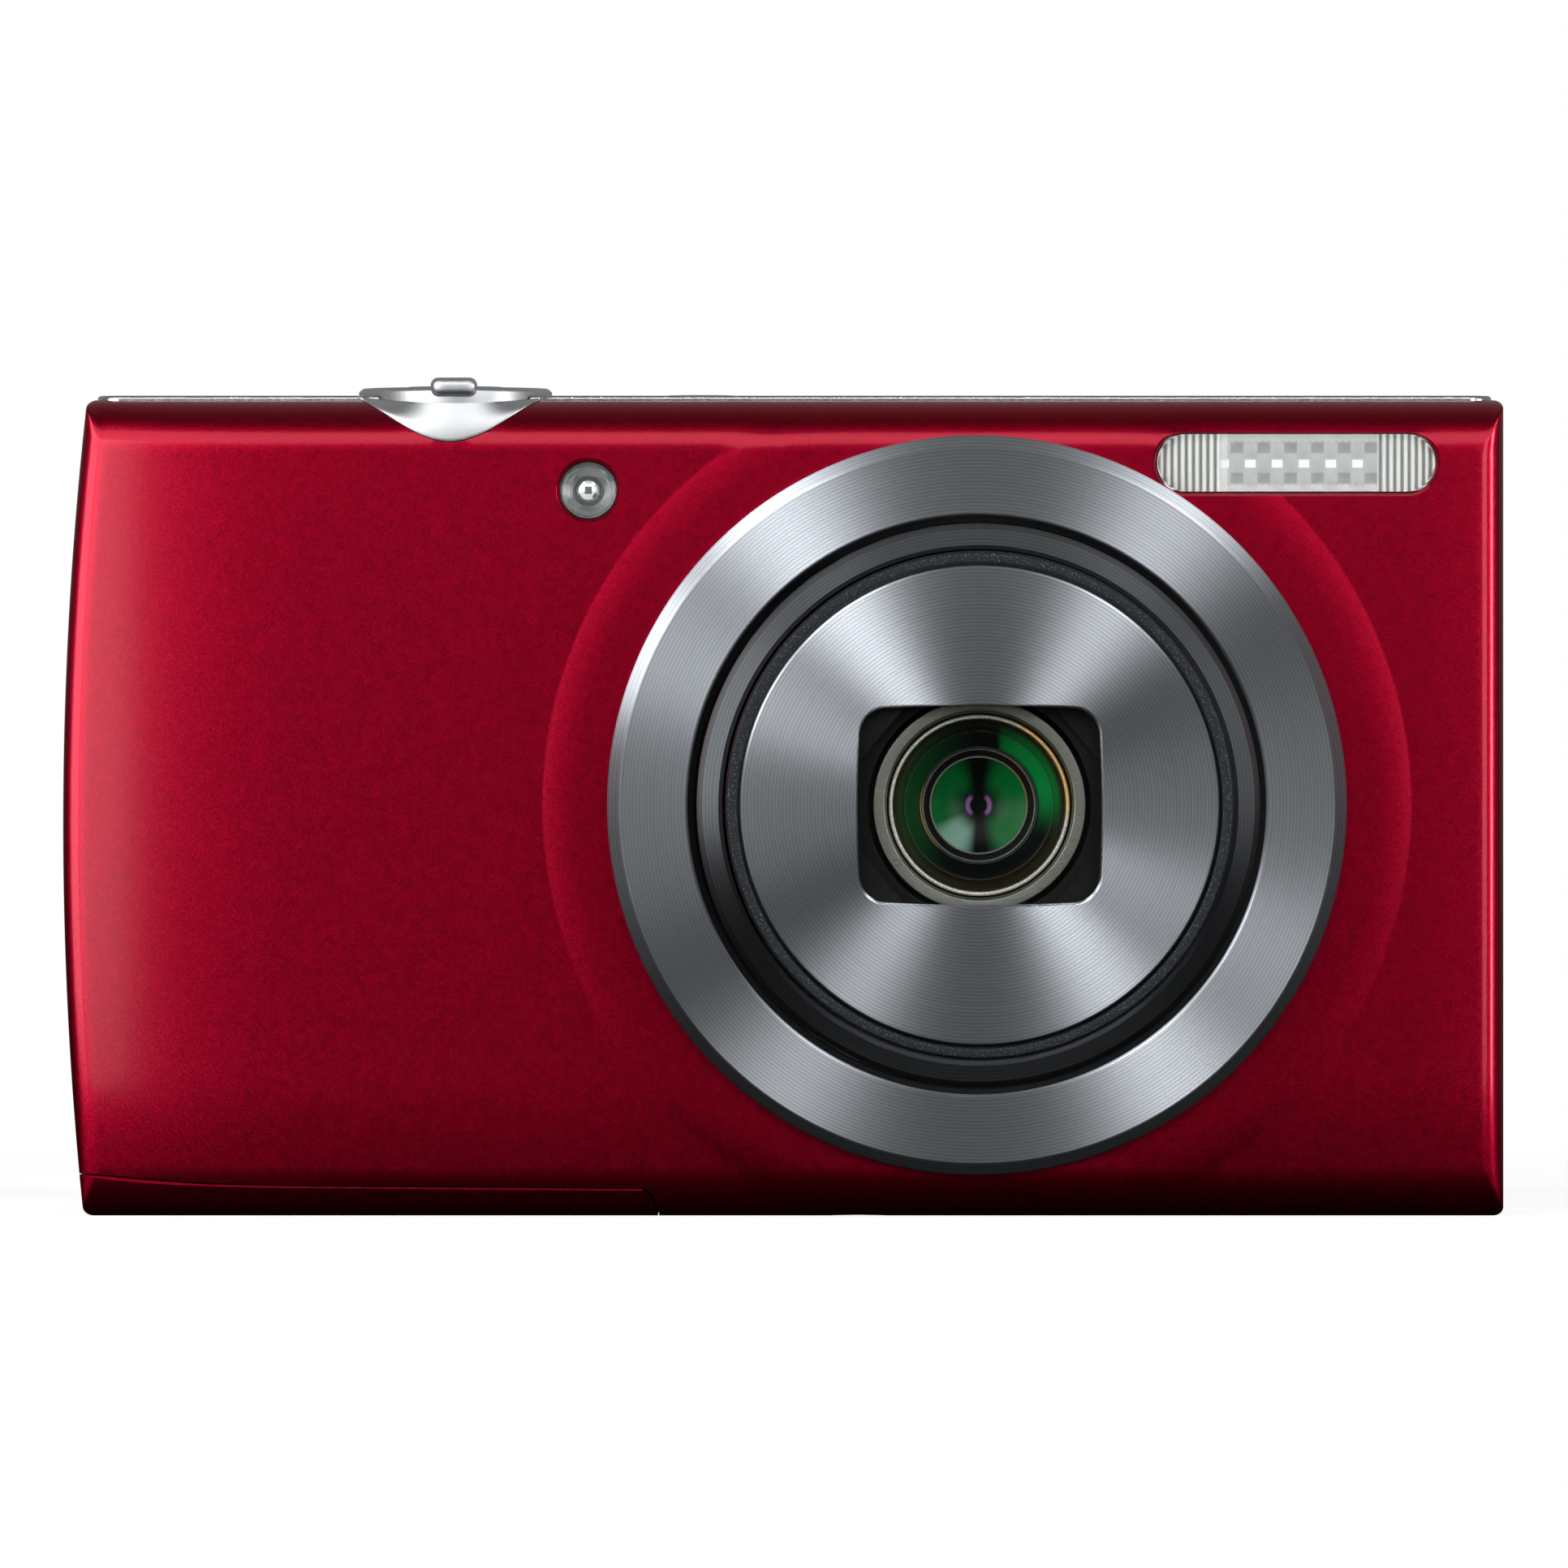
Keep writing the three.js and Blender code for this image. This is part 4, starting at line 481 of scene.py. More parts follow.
def make_battery_label():
    """Grey shrink wrap, darker towards the top where the contacts are."""
    n = new_nodes("battery_wrap")
    z = n.add("ShaderNodeSeparateXYZ", {}, {0: n.place()})[2]
    band = z.ramp(36 * MM, 36.4 * MM)
    grain = n.noise(0.5)
    base = n.blend(band, (0.085, 0.09, 0.10), (0.02, 0.02, 0.022))
    return n.surface(Base_Color=base, Roughness=grain.ramp(0.3, 0.7, 0.35, 0.5), Normal=n.bump(grain, 0.01))


def make_finishes():
    """Makes every finish once."""
    scene = bpy.context.scene
    body, lens, top = scene.body_look, scene.lens_look, scene.top_look
    silver = tuple(top.silver)
    FINISHES.update({
        "red_paint": make_red_paint(body),
        "spun_aluminium": make_spun_metal(lens),
        "spun_dark": make_spun_metal(lens, "spun_dark", 0.5, 0.4, 0.003),
        "satin_silver": make_metal("satin_silver", silver, 0.24, 0.3, 0.0012),
        "blasted_silver": make_metal("blasted_silver", silver, 0.42, 0.12, 0.003),
        "champagne": make_metal("champagne", (0.24, 0.25, 0.215), 0.42, 0.12, 0.02),
        # The gold that these three rings show towards one side is a painted reflection.
        "beaded_ring": make_lens_ring("beaded_ring", (0.92, 0.92, 0.84), (0.95, 0.62, 0.24), (0.87, 0.5)),
        "dark_ring_gold_glint": make_lens_ring("dark_ring_gold_glint", (0.10, 0.11, 0.09), (0.62, 0.36, 0.12), (-0.9, -0.2)),
        "fine_ring": make_lens_ring("fine_ring", (0.34, 0.38, 0.34), (0.40, 0.36, 0.22), (0.6, 0.6)),
        "bright_metal": make_metal("bright_metal", (0.72, 0.72, 0.73), 0.16, 0.4, 0.001),
        "steel": make_metal("steel", (0.46, 0.47, 0.48), 0.36, 0.3, 0.003, (1, 1, 0.1)),
        "brass": make_metal("brass", (0.62, 0.45, 0.17), 0.3, 0.3, 0.002),
        "textured_graphite": make_graphite("textured_graphite", (0.028, 0.032, 0.036)),
        "dark_plastic": make_plastic("dark_plastic", (0.012, 0.012, 0.014), 0.5, 0.3, 0.01),
        "matt_black": make_plastic("matt_black", (0.004, 0.004, 0.004), 0.7, 0.3, 0.01, 0.2),
        "brown_black": make_plastic("brown_black", (0.012, 0.006, 0.003), 0.5, 0.3, 0.004, 0.3),
        "soft_rubber": make_plastic("soft_rubber", (0.014, 0.014, 0.015), 0.8, 0.18, 0.02, 0.3),
        "orange_plastic": make_plastic("orange_plastic", (0.62, 0.11, 0.012), 0.42, 0.4, 0.006),
        "white_plastic": make_plastic("white_plastic", (0.7, 0.7, 0.68), 0.35, 0.4, 0.004),
        "clear_window": make_glass("clear_window", (0.95, 0.97, 0.97), 1.45),
        "lens_glass": make_film_glass("lens_glass"),
        # The coated glass's colour holds painted reflections.
        "coated_glass": make_coated_lens(lens),
        "flash_prism": make_flash_prism(),
        "lamp_grey": make_metal("lamp_grey", (0.12, 0.125, 0.125), 0.35, 0.25, 0.004),
        "screen_glass": make_screen_glass(),
        "circuit_board": make_board(),
        "battery_wrap": make_battery_label(),
    })


# Shapes. Outlines are lists of (a, b), or (a, b, radius) where the corner is rounded.


def rounded(points, steps=5):
    """A closed outline with its corners rounded off."""
    result = []
    for i, point in enumerate(points):
        here = Vector(point[:2])
        if len(point) < 3 or point[2] == 0:
            result.append(here)
            continue
        back = Vector(points[i - 1][:2]) - here
        ahead = Vector(points[(i + 1) % len(points)][:2]) - here
        half = math.acos(max(-1, min(1, back.normalized().dot(ahead.normalized())))) / 2
        reach = min(point[2] / math.tan(half), 0.49 * back.length, 0.49 * ahead.length)
        radius = reach * math.tan(half)
        centre = here + (back.normalized() + ahead.normalized()).normalized() * radius / math.sin(half)
        start, end = here + back.normalized() * reach - centre, here + ahead.normalized() * reach - centre
        first = math.atan2(start.y, start.x)
        sweep = (math.atan2(end.y, end.x) - first + math.pi) % TURN - math.pi
        for k in range(steps + 1):
            angle = first + sweep * k / steps
            result.append(centre + radius * Vector((math.cos(angle), math.sin(angle))))
    return result


def rectangle(u0, u1, v0, v1, radius=0.0, steps=8):
    return rounded([(u0, v0, radius), (u1, v0, radius), (u1, v1, radius), (u0, v1, radius)], steps)


def around(steps):
    """The cosine and sine of each step of a full turn."""
    return [(math.cos(TURN * i / steps), math.sin(TURN * i / steps)) for i in range(steps)]


def circle(u, v, radius, steps=64):
    return [Vector((u + radius * across, v + radius * up)) for across, up in around(steps)]


def object_from(name, points, faces):
    """An object of closed faces, from points in millimetres."""
    shape = bmesh.new()
    corners = [shape.verts.new(Vector(p) * MM) for p in points]
    for face in faces:
        shape.faces.new([corners[i] for i in face])
    bmesh.ops.remove_doubles(shape, verts=shape.verts, dist=1e-7)
    bmesh.ops.recalc_face_normals(shape, faces=shape.faces)
    mesh = bpy.data.meshes.new(name)
    shape.to_mesh(mesh)
    shape.free()
    result = bpy.data.objects.new(name, mesh)
    bpy.context.scene.collection.objects.link(result)
    return result


def skin(rings, closed=False, start=0):
    """The faces between rings of points, all of one length, numbered from start."""
    count, total = len(rings[0]), len(rings[0]) * len(rings)
    faces = []
    for row in range(0, total if closed else total - count, count):
        for i in range(count):
            a, b = row + i, row + (i + 1) % count
            faces.append(tuple(start + v % total for v in (a, b, b + count, a + count)))
    return faces


def loft(name, rings, closed=False):
    """Skin over rings of points. Its ends are capped, or joined where it is closed."""
    count = len(rings[0])
    points = [p for ring in rings for p in ring]
    faces = skin(rings, closed)
    if not closed:
        faces += [tuple(range(count)), tuple(range(len(points) - count, len(points)))]
    return object_from(name, points, faces)


AXES = {
    "x": lambda u, v, w: (w, u, v),
    "y": lambda u, v, w: (u, w, v),
    "z": lambda u, v, w: (u, v, w),
}


def prism(name, outline, axis, low, high, edge=0.0, steps=4):
    """An outline pulled along an axis, with its two ends' edges rounded by the edge radius."""
    middle = sum((Vector(p[:2]) for p in outline), Vector((0, 0))) / len(outline)
    span = [max(abs(p[k] - middle[k]) for p in outline) for k in (0, 1)]

    def ring(w, inset):
        share = [1 - inset / max(s, 1e-6) for s in span]
        return [AXES[axis](*[middle[k] + (p[k] - middle[k]) * share[k] for k in (0, 1)], w) for p in outline]

    if not edge:
        return loft(name, [ring(low, 0), ring(high, 0)])
    bend = [(edge * (1 - math.sin(angle)), edge * (1 - math.cos(angle)))
            for angle in (math.pi / 2 * k / steps for k in range(steps + 1))]
    rings = [ring(low + depth, inset) for depth, inset in reversed(bend)]
    rings += [ring(high - depth, inset) for depth, inset in bend]
    return loft(name, rings)


# How a piece turned about its local Z axis stands for each direction of that axis
STANDING = {
    "front": Matrix.Rotation(math.pi / 2, 4, "X"),
    "up": Matrix.Identity(4),
    "right": Matrix.Rotation(math.pi / 2, 4, "Y"),
}


def turned(name, profile, centre, way="front", steps=128):
    """A closed profile of (radius, place) turned about a line through centre. Its place runs back along Y for
    front, up for up, and to the right for right. The object's own Z axis is the line."""
    sign = -1 if way == "front" else 1
    outline = [(max(0.0, p[0]), sign * p[1]) for p in profile]
    points, rows, faces = [], [], []
    for r, h in outline:
        if r < 1e-6:
            rows.append([len(points)])
            points.append((0, 0, h))
        else:
            rows.append([len(points) + i for i in range(steps)])
            points.extend((r * across, r * up, h) for across, up in around(steps))
    for k, row in enumerate(rows):
        other = rows[(k + 1) % len(rows)]
        if len(row) == 1 and len(other) == 1:
            continue
        for i in range(steps):
            j = (i + 1) % steps
            face = [row[i % len(row)], row[j % len(row)], other[j % len(other)], other[i % len(other)]]
            kept = [v for m, v in enumerate(face) if v not in face[:m]]
            if len(kept) > 2:
                faces.append(kept)
    result = object_from(name, points, faces)
    result.matrix_world = Matrix.Translation(Vector(centre) * MM) @ STANDING[way]
    return result


def carve(piece, *tools, operation="DIFFERENCE"):
    """Cuts the tools out of a piece, or adds or keeps what they share, and then removes them."""
    bpy.context.view_layer.update()
    for tool in tools:
        step = piece.modifiers.new("carve", "BOOLEAN")
        step.operation = operation
        step.object = tool
        step.solver = "MANIFOLD"
    bpy.context.view_layer.update()
    shaped = piece.evaluated_get(bpy.context.evaluated_depsgraph_get())
    mesh = bpy.data.meshes.new_from_object(shaped)
    if not mesh.polygons:
        raise RuntimeError(f"{piece.name} has nothing left after carving")
    piece.modifiers.clear()
    piece.data = mesh
    for tool in tools:
        bpy.data.objects.remove(tool)
    return piece


def copy_of(piece, name):
    result = bpy.data.objects.new(name, piece.data.copy())
    result.matrix_world = piece.matrix_world.copy()
    bpy.context.scene.collection.objects.link(result)
    return result


def finished(piece, look, body, *nodes, slot=None, sharp=35, weighted=True):
    """Gives a piece its finish and smooth shading, sets it on its body and hides the nodes it stands for."""
    mesh = piece.data
    mesh.materials.clear()
    mesh.materials.append(finish(look))
    mesh.shade_smooth()
    mesh.set_sharp_from_angle(angle=math.radians(sharp))
    if weighted:
        normals = piece.modifiers.new("even shading", "WEIGHTED_NORMAL")
        normals.keep_sharp = True
    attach(piece, body)
    if nodes:
        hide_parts(*nodes)
    slot or SLOT_OF.get(look, look)
    return piece


def lathe(name, look, body, centre, profile, *nodes, way="front", steps=128, **options):
    """A turned piece with its finish. Corners of its profile may be rounded."""
    return finished(turned(name, rounded(profile), centre, way, steps), look, body, *nodes, **options)


# The record's slot of a finish that has another name there
SLOT_OF = {
    "spun_dark": "spun_aluminium", "champagne": "dark_plastic", "dark_ring_gold_glint": "brass",
    "beaded_ring": "bright_metal", "fine_ring": "bright_metal", "lamp_grey": "bright_metal",
    "matt_black": "dark_plastic", "brown_black": "dark_plastic", "white_plastic": "dark_plastic",
    "battery_wrap": "dark_plastic", "lens_glass": "coated_glass", "blasted_silver": "satin_silver",
    "flash_prism": "clear_window",
}


# The body's form, shared by both covers and the battery door. The left side bows, highest at BOW_MIDDLE.

LEFT, RIGHT, FRONT, BACK, COVER_TOP = -47.595, 47.6, -10.0, 10.0, 53.95
BOW_MIDDLE, BOW_RADIUS, CORNER = 25.9, 249.0, 0.6
FRONT_ROUND = {"side": 1.5, "top": 3.2, "bottom": 3.0}
BACK_ROUND = {"side": 2.2, "top": 1.6, "bottom": 2.2}
SEAM_Y, SEAM_GAP = 2.0, 0.12
LENS = (12.78, 27.16)
PLATE = {"left": -45.4, "right": 46.9, "front": -7.25, "back": 8.0, "low": 53.0, "top": 54.25, "corner": 1.5}
SHUTTER, LEVER_RADIUS = (-21.75, -3.0), 6.41
LIP_TOP, LIP_SHELF = 54.2, 53.3
CONTROL_HOLES = {"four_way_pad": 0.32, "movie_button": 0.4, "playback_button": 0.4, "menu_button": 0.4}


def body_outline(inset, corner, fine):
    """Points round the front view: x, z, how far each belongs to a side, and whether it is top or bottom."""
    low, high = inset["bottom"], COVER_TOP - inset["top"]

    def left_at(z):
        return LEFT + (z - BOW_MIDDLE) ** 2 / (2 * BOW_RADIUS) + inset["side"]

    points = []

    def corner_points(side, edge, start):
        for i in range(9):
            angle = start + math.pi / 2 * i / 8
            z = (high - corner if edge == "top" else low + corner) + corner * math.sin(angle)
            pull = corner * (1 - abs(math.cos(angle)))
            x = RIGHT - inset["side"] - pull if side > 0 else left_at(z) + pull
            points.append((x, z, math.cos(angle) ** 2, edge))

    def between(start, end, count, place):
        for i in range(1, count):
            points.append(place(start + (end - start) * i / count))

    right = RIGHT - inset["side"]
    ends = [left_at(low) + corner, right - corner]
    across = 128 if fine else 4
    corner_points(1, "bottom", -math.pi / 2)
    between(low + corner, high - corner, 48, lambda z: (right, z, 1.0, "top"))
    corner_points(1, "top", 0)
    between(ends[1], left_at(high) + corner, across, lambda x: (x, high, 0.0, "top"))
    corner_points(-1, "top", math.pi / 2)
    between(high - corner, low + corner, 72, lambda z: (left_at(z), z, 1.0, "top"))
    corner_points(-1, "bottom", math.pi)
    between(ends[0], ends[1], across, lambda x: (x, low, 0.0, "bottom"))
    return points


def band_height(look, x, z):
    """How far the band round the lens lifts the front. It slopes ever more until it ends in a crease."""
    inner, outer = mm(look, "band_inner"), mm(look, "band_outer")
    share = (math.hypot(x - LENS[0], z - LENS[1]) - inner) / (outer - inner)
    return mm(look, "band_rise") * (1 - max(0.0, min(1.0, share)) ** 2)


def fall(past, run, depth, power=2):
    """How far the front has fallen back at a place that lies past the line where its fall begins."""
    return depth * (max(0.0, past) / run) ** power


def front_drop(x, z):
    """How far the front falls back towards its left, right and bottom edges, away from the lens."""
    clear = max(0.0, min(1.0, (math.hypot(x - LENS[0], z - LENS[1]) - 25) / 4))
    left = fall(past=-30.6 - x, run=17, depth=0.8, power=2.6)
    right = fall(past=x - 41.6, run=6, depth=0.14)
    return left + right + fall(past=9 - z, run=9, depth=0.6) * clear


def body_ring(rounds, angle, face, inward, offset, fine, look=None):
    """One ring of the body's outside, or of the same form shrunk by the offset."""
    radius = {key: max(0.3, rounds[key] - offset) for key in rounds}
    inset = {key: offset + radius[key] * (1 - math.cos(angle)) for key in rounds}
    ring = []
    for x, z, side_share, edge in body_outline(inset, max(0.3, CORNER - offset), fine):
        blend = side_share * radius["side"] + (1 - side_share) * radius[edge]
        y = face + inward * blend * (1 - math.sin(angle))
        if look:
            y += (front_drop(x, z) - band_height(look, x, z)) * math.sin(angle)
        ring.append((x, y, z))
    return ring


def body_solid(name, offset, look=None):
    """The whole body as one closed form, with the band where a look is given."""
    fine = look is not None
    steps = 10 if fine else 4
    front = [body_ring(FRONT_ROUND, math.pi / 2 * k / steps, FRONT + offset, 1, offset, fine, look)
             for k in range(steps, -1, -1)]
    back = [body_ring(BACK_ROUND, math.pi / 2 * k / steps, BACK - offset, -1, offset, fine)
            for k in range(steps + 1)]
    square = dict.fromkeys(FRONT_ROUND, 0.3 + offset)
    middle = [body_ring(square, 0, y, 0, offset, fine) for y in (-5.0, SEAM_Y, 5.0)]
    rings = front + middle + back
    if not fine:
        return loft(name, rings)
    count = len(rings[0])
    points = [p for ring in rings for p in ring]
    faces = skin(rings) + [tuple(range(len(points) - count, len(points)))]
    add_front_face(look, points, faces, count)
    return object_from(name, points, faces)


# Radii of the rings of points that the front's mesh has round the lens, closest where the band ends
BAND_RINGS = (22.0, 23.6, 24.8, 25.6, 26.3, 26.7, 27.1, 27.5, 27.9, 28.3, 28.6, 28.7, 28.78, 29.1)


def add_front_face(look, points, faces, count):
    """Fills the first ring with the flat front and the raised band, as a fine mesh. Its points lie closest
    together round the band and near the left, right and bottom edges, where the front falls back."""
    edge = [Vector((points[i][0], points[i][2])) for i in range(count)]
    centre = Vector((0, COVER_TOP / 2))
    inner = []
    for p in edge:
        way = centre - p
        inner.append(Vector((p.x + 0.25 * (1 if way.x > 0 else -1) * min(1, abs(way.x)),
                             p.y + 0.25 * (1 if way.y > 0 else -1) * min(1, abs(way.y)))))
    inside = []
    low, high = min(p.y for p in inner) + 0.3, max(p.y for p in inner) - 0.3
    for r in BAND_RINGS:
        inside += [p for p in circle(*LENS, r, 240) if low < p.y < high]
    heights = [low + (0.9 * k if k < 10 else 9 + (high - low - 9) * (k - 9) / 40) for k in range(50)]
    for z in heights:
        edge_x = min((abs(p.y - z), p.x) for p in edge if p.x < -40)[1]
        places = [edge_x + 0.6 * k + 0.035 * k * k for k in range(1, 19)] + [-21.5 + i for i in range(68)]
        for x in places:
            near_lens = 21.5 < math.hypot(x - LENS[0], z - LENS[1]) < 29.4
            if not near_lens and (z < 10 or x < -29 or x > 41):
                inside.append(Vector((x, z)))
    flat = edge + inner + inside
    rim = [(i, (i + 1) % count) for i in range(count)]
    placed, _, cells, *_ = geometry.delaunay_2d_cdt(flat, rim, [], 1, 1e-5)
    start = len(points)
    numbers = []
    for i, p in enumerate(placed):
        if i < count:
            numbers.append(i)
        else:
            numbers.append(start + i - count)
            points.append((p.x, FRONT + front_drop(p.x, p.y) - band_height(look, p.x, p.y), p.y))
    for cell in cells:
        faces.append(tuple(numbers[i] for i in cell))


def block(name, x, y, z):
    return prism(name, rectangle(x[0], x[1], y[0], y[1]), "z", z[0], z[1])


# Room in the covers for the door's hinge and for the terminal cover, and the radius of a screw head
HINGE_ROOM = ((-48.6, -8.18), (3.2, 4.85), (-2, 1.42))
TERMINAL_ROOM = ((45.4, 60), (-1.05, 6.77), (25.95, 38.05))
SCREW_RADIUS = 1.25

# Which way each screw faces and the middle of its head. The first three are the CAD's own.
SCREW_SEATS = [
    ("z", (22, 0, 0.05)), ("x", (47.55, 0.3, 10)), ("-x", (-47.15, 0.3, 12)),
    ("z", (38, 0, 0.05)), ("x", (47.55, 0.3, 43)), ("-x", (-47.04, 0.3, 42)),
]


def screw_tools():
    """Round seats for the screw heads, open to the outside."""
    tools = []
    for way, (x, y, z) in SCREW_SEATS:
        if way == "z":
            tools.append(prism("screw_seat", circle(x, y, SCREW_RADIUS + 0.13, 32), "z", -1, z + 0.62))
        else:
            ends = (x - 0.62, x + 1) if way == "x" else (x - 1, x + 0.62)
            tools.append(prism("screw_seat", circle(y, z, SCREW_RADIUS + 0.13, 32), "x", *ends))
    return tools


# The upper edge of the battery door in the front view, as x and z, and the place of its hinge in y and z
DOOR_SEAM = [(-48.6, 2.75), (-46, 2.72), (-38, 2.1), (-30.3, 1.96), (-9.3, 1.8), (-8.7, 1.26), (-8.3, 0.15)]
HINGE = (3.2, 1.3)


def door_tool(name, grow):
    """The part of the covers that belongs to the battery door, grown by a gap."""
    outline = [(x + grow, z + grow) for x, z in DOOR_SEAM]
    outline += [(outline[-1][0], -2), (outline[0][0], -2)]
    fore = prism(name, outline, "y", FRONT - 1, HINGE[0] + grow)
    ends = (DOOR_SEAM[0][0] + grow, DOOR_SEAM[-1][0] + grow)
    heel = prism(name + "_heel", rectangle(HINGE[0] - 1, HINGE[0] + HINGE[1] + grow, -2, 2 * HINGE[1] + grow),
                 "x", *ends)
    barrel = prism(name + "_round", circle(HINGE[0], HINGE[1], HINGE[1] + grow, 48), "x", *ends)
    carve(heel, barrel, operation="INTERSECT")
    return carve(fore, heel, operation="UNION")


def door_edge_tool(name):
    """A sliver along the door's upper front edge. It leaves a chamfer that faces a little upwards."""
    rings = []
    radius = FRONT_ROUND["bottom"]
    for x, z in DOOR_SEAM[:5]:
        y = FRONT + front_drop(max(x, LEFT), z) + radius - math.sqrt(radius ** 2 - (radius - z) ** 2)
        rings.append([(x, y - 0.4, z - 0.16 - 0.8), (x, y + 0.28, z + 0.4), (x, y - 0.4, z + 0.4)])
    return loft(name, rings)


def plate_outline(grow=0.0):
    """The top plate seen from above, grown by a gap."""
    return rectangle(PLATE["left"] - grow, PLATE["right"] + grow, PLATE["front"] - grow, PLATE["back"] + grow,
                     PLATE["corner"] + grow)


def plate_tool(name, grow, low, high):
    return prism(name, plate_outline(grow), "z", low, high)


def lip_top(dx):
    """Height of the lip's upper edge, beside the lever."""
    return LIP_TOP - 0.5 * max(0.0, 1 - (dx / LEVER_RADIUS) ** 2)


def lip_low(dx):
    """Height of the lip's lower edge, which hangs a little to the left of the lever's middle."""
    away = abs(dx + 0.25)
    bow = max(0.0, 1 - (away / 6.2) ** 2)
    swell = (1 + math.cos(math.pi * min(1.0, away / 6.4))) / 2
    return min(LIP_TOP - 0.05 - 2.95 * (bow + swell) / 2, lip_top(dx) - 0.03)


def front_at(z):
    """How far forward the cover's rounded top edge stands at a height."""
    rise = max(0.0, z - (COVER_TOP - FRONT_ROUND["top"]))
    return FRONT + FRONT_ROUND["top"] - math.sqrt(max(0.0, FRONT_ROUND["top"] ** 2 - rise ** 2))


def lip_tool(name, radius):
    reach = radius + 0.12
    steps = [reach * (k / 24 - 1) for k in range(49)]
    outline = [(SHUTTER[0] + dx, lip_low(dx) - 0.08) for dx in steps]
    outline += [(SHUTTER[0] + reach, COVER_TOP + 1), (SHUTTER[0] - reach, COVER_TOP + 1)]
    return prism(name, outline, "y", FRONT - 1, PLATE["front"] + 1)


class CAMERA_OT_covers(bpy.types.Operator):
    """Makes the painted front cover, rear cover and battery door"""

    bl_idname = "scene.camera_covers"
    bl_label = "Covers and battery door"

    def execute(self, context):
        look = context.scene.body_look
        wall = mm(look, "wall")
        seam = mm(look, "seam")
        shell = carve(body_solid("shell", 0.0, look), body_solid("hollow", wall))
        names = ("front_cover_paint", "rear_cover_paint", "door_paint")
        front, rear, door = [copy_of(shell, name) for name in names]
        bpy.data.objects.remove(shell)
        carve(front, self.front_half(), operation="INTERSECT")
        tools = [
            turned("lens_hole", [(0, -20), (20.6, -20), (20.6, 5), (0, 5)], (LENS[0], 0, LENS[1]), steps=96),
            self.window_tool("flash_hole", "flash_window", 0.08),
            self.window_tool("lamp_hole", "focus_lamp_window", 0.08),
            plate_tool("plate_hole", 0.1, 52.9, 60),
            lip_tool("lip_hole", LEVER_RADIUS),
            door_tool("door_hole", seam),
            block("door_room", *HINGE_ROOM),
            block("terminal_room", *TERMINAL_ROOM),
            prism("socket_hole", circle(5, -3, 4.45, 48), "z", -1, 2.2),
        ]
        for tool in tools + screw_tools():
            carve(front, tool)
        carve(door, door_tool("door_keep", 0.0), operation="INTERSECT")
        carve(door, door_edge_tool("door_edge"))
        self.cut_rear(rear, seam)
        finished(front, "red_paint", "camera_body", "front_cover")
        finished(rear, "red_paint", "camera_body", "rear_cover")
        finished(door, "red_paint", "battery_door", "battery_door")
        self.add_hinge_knuckles()
        return {"FINISHED"}

    def front_half(self):
        """The room of the front cover, which keeps a lip behind the seam."""
        half = block("half", (-60, 60), (-20, SEAM_Y), (-5, 60))
        lip_end = block("lip_end", (-60, 60), (-20, SEAM_Y + 0.1), (-5, 60))
        lip = carve(body_solid("lip", 0.5), lip_end, operation="INTERSECT")
        return carve(half, lip, operation="UNION")

    def window_tool(self, name, node, gap):
        """The hole for a window with round ends, with a chamfered rim."""
        rings = []
        for y, grow in ((-15, gap + 0.22), (-10.0, gap + 0.22), (-9.74, gap), (-8, gap)):
            low, high = corners(node)
            low, high = low - Vector((grow, 0, grow)), high + Vector((grow, 0, grow))
            outline = rectangle(low.x, high.x, low.z, high.z, (high.z - low.z) / 2 - 0.01, 16)
            rings.append([(p.x, y, p.y) for p in outline])
        return loft(name, rings)

    def cut_rear(self, rear, seam):
        carve(rear, block("half", (-60, 60), (SEAM_Y + SEAM_GAP, 20), (-5, 60)), operation="INTERSECT")
        low, high = corners("screen_window")
        hole = rectangle(low.x - 0.05, high.x + 0.05, low.z - 0.05, high.z + 0.05, 1.25)
        tools = [prism("screen_hole", hole, "y", 8.6, 12)]
        for node, less in CONTROL_HOLES.items():
            low, high = corners(node)
            x, _, z = line_through(node)
            tools.append(prism("control_hole", circle(x, z, (high.x - low.x) / 2 - less, 64), "y", 7, 12))
        tools += [
            plate_tool("plate_hole", 0.1, 52.9, 60),
            door_tool("door_hole", seam),
            block("door_room", *HINGE_ROOM),
            block("terminal_room", *TERMINAL_ROOM),
            block("lug_room", (-60, -43.6), (2.55, 7.45), (37.95, 45.05)),
        ]
        for tool in tools:
            carve(rear, tool)

    def add_hinge_knuckles(self):
        for i, x in enumerate((-37, -19)):
            profile = [(0.62, -3), (1.2, -3, 0.15), (1.2, 3, 0.15), (0.62, 3)]
            name = f"door_knuckle_{i + 1}"
            lathe(name, "dark_plastic", "battery_door", (x, *HINGE), profile, way="right", steps=32)


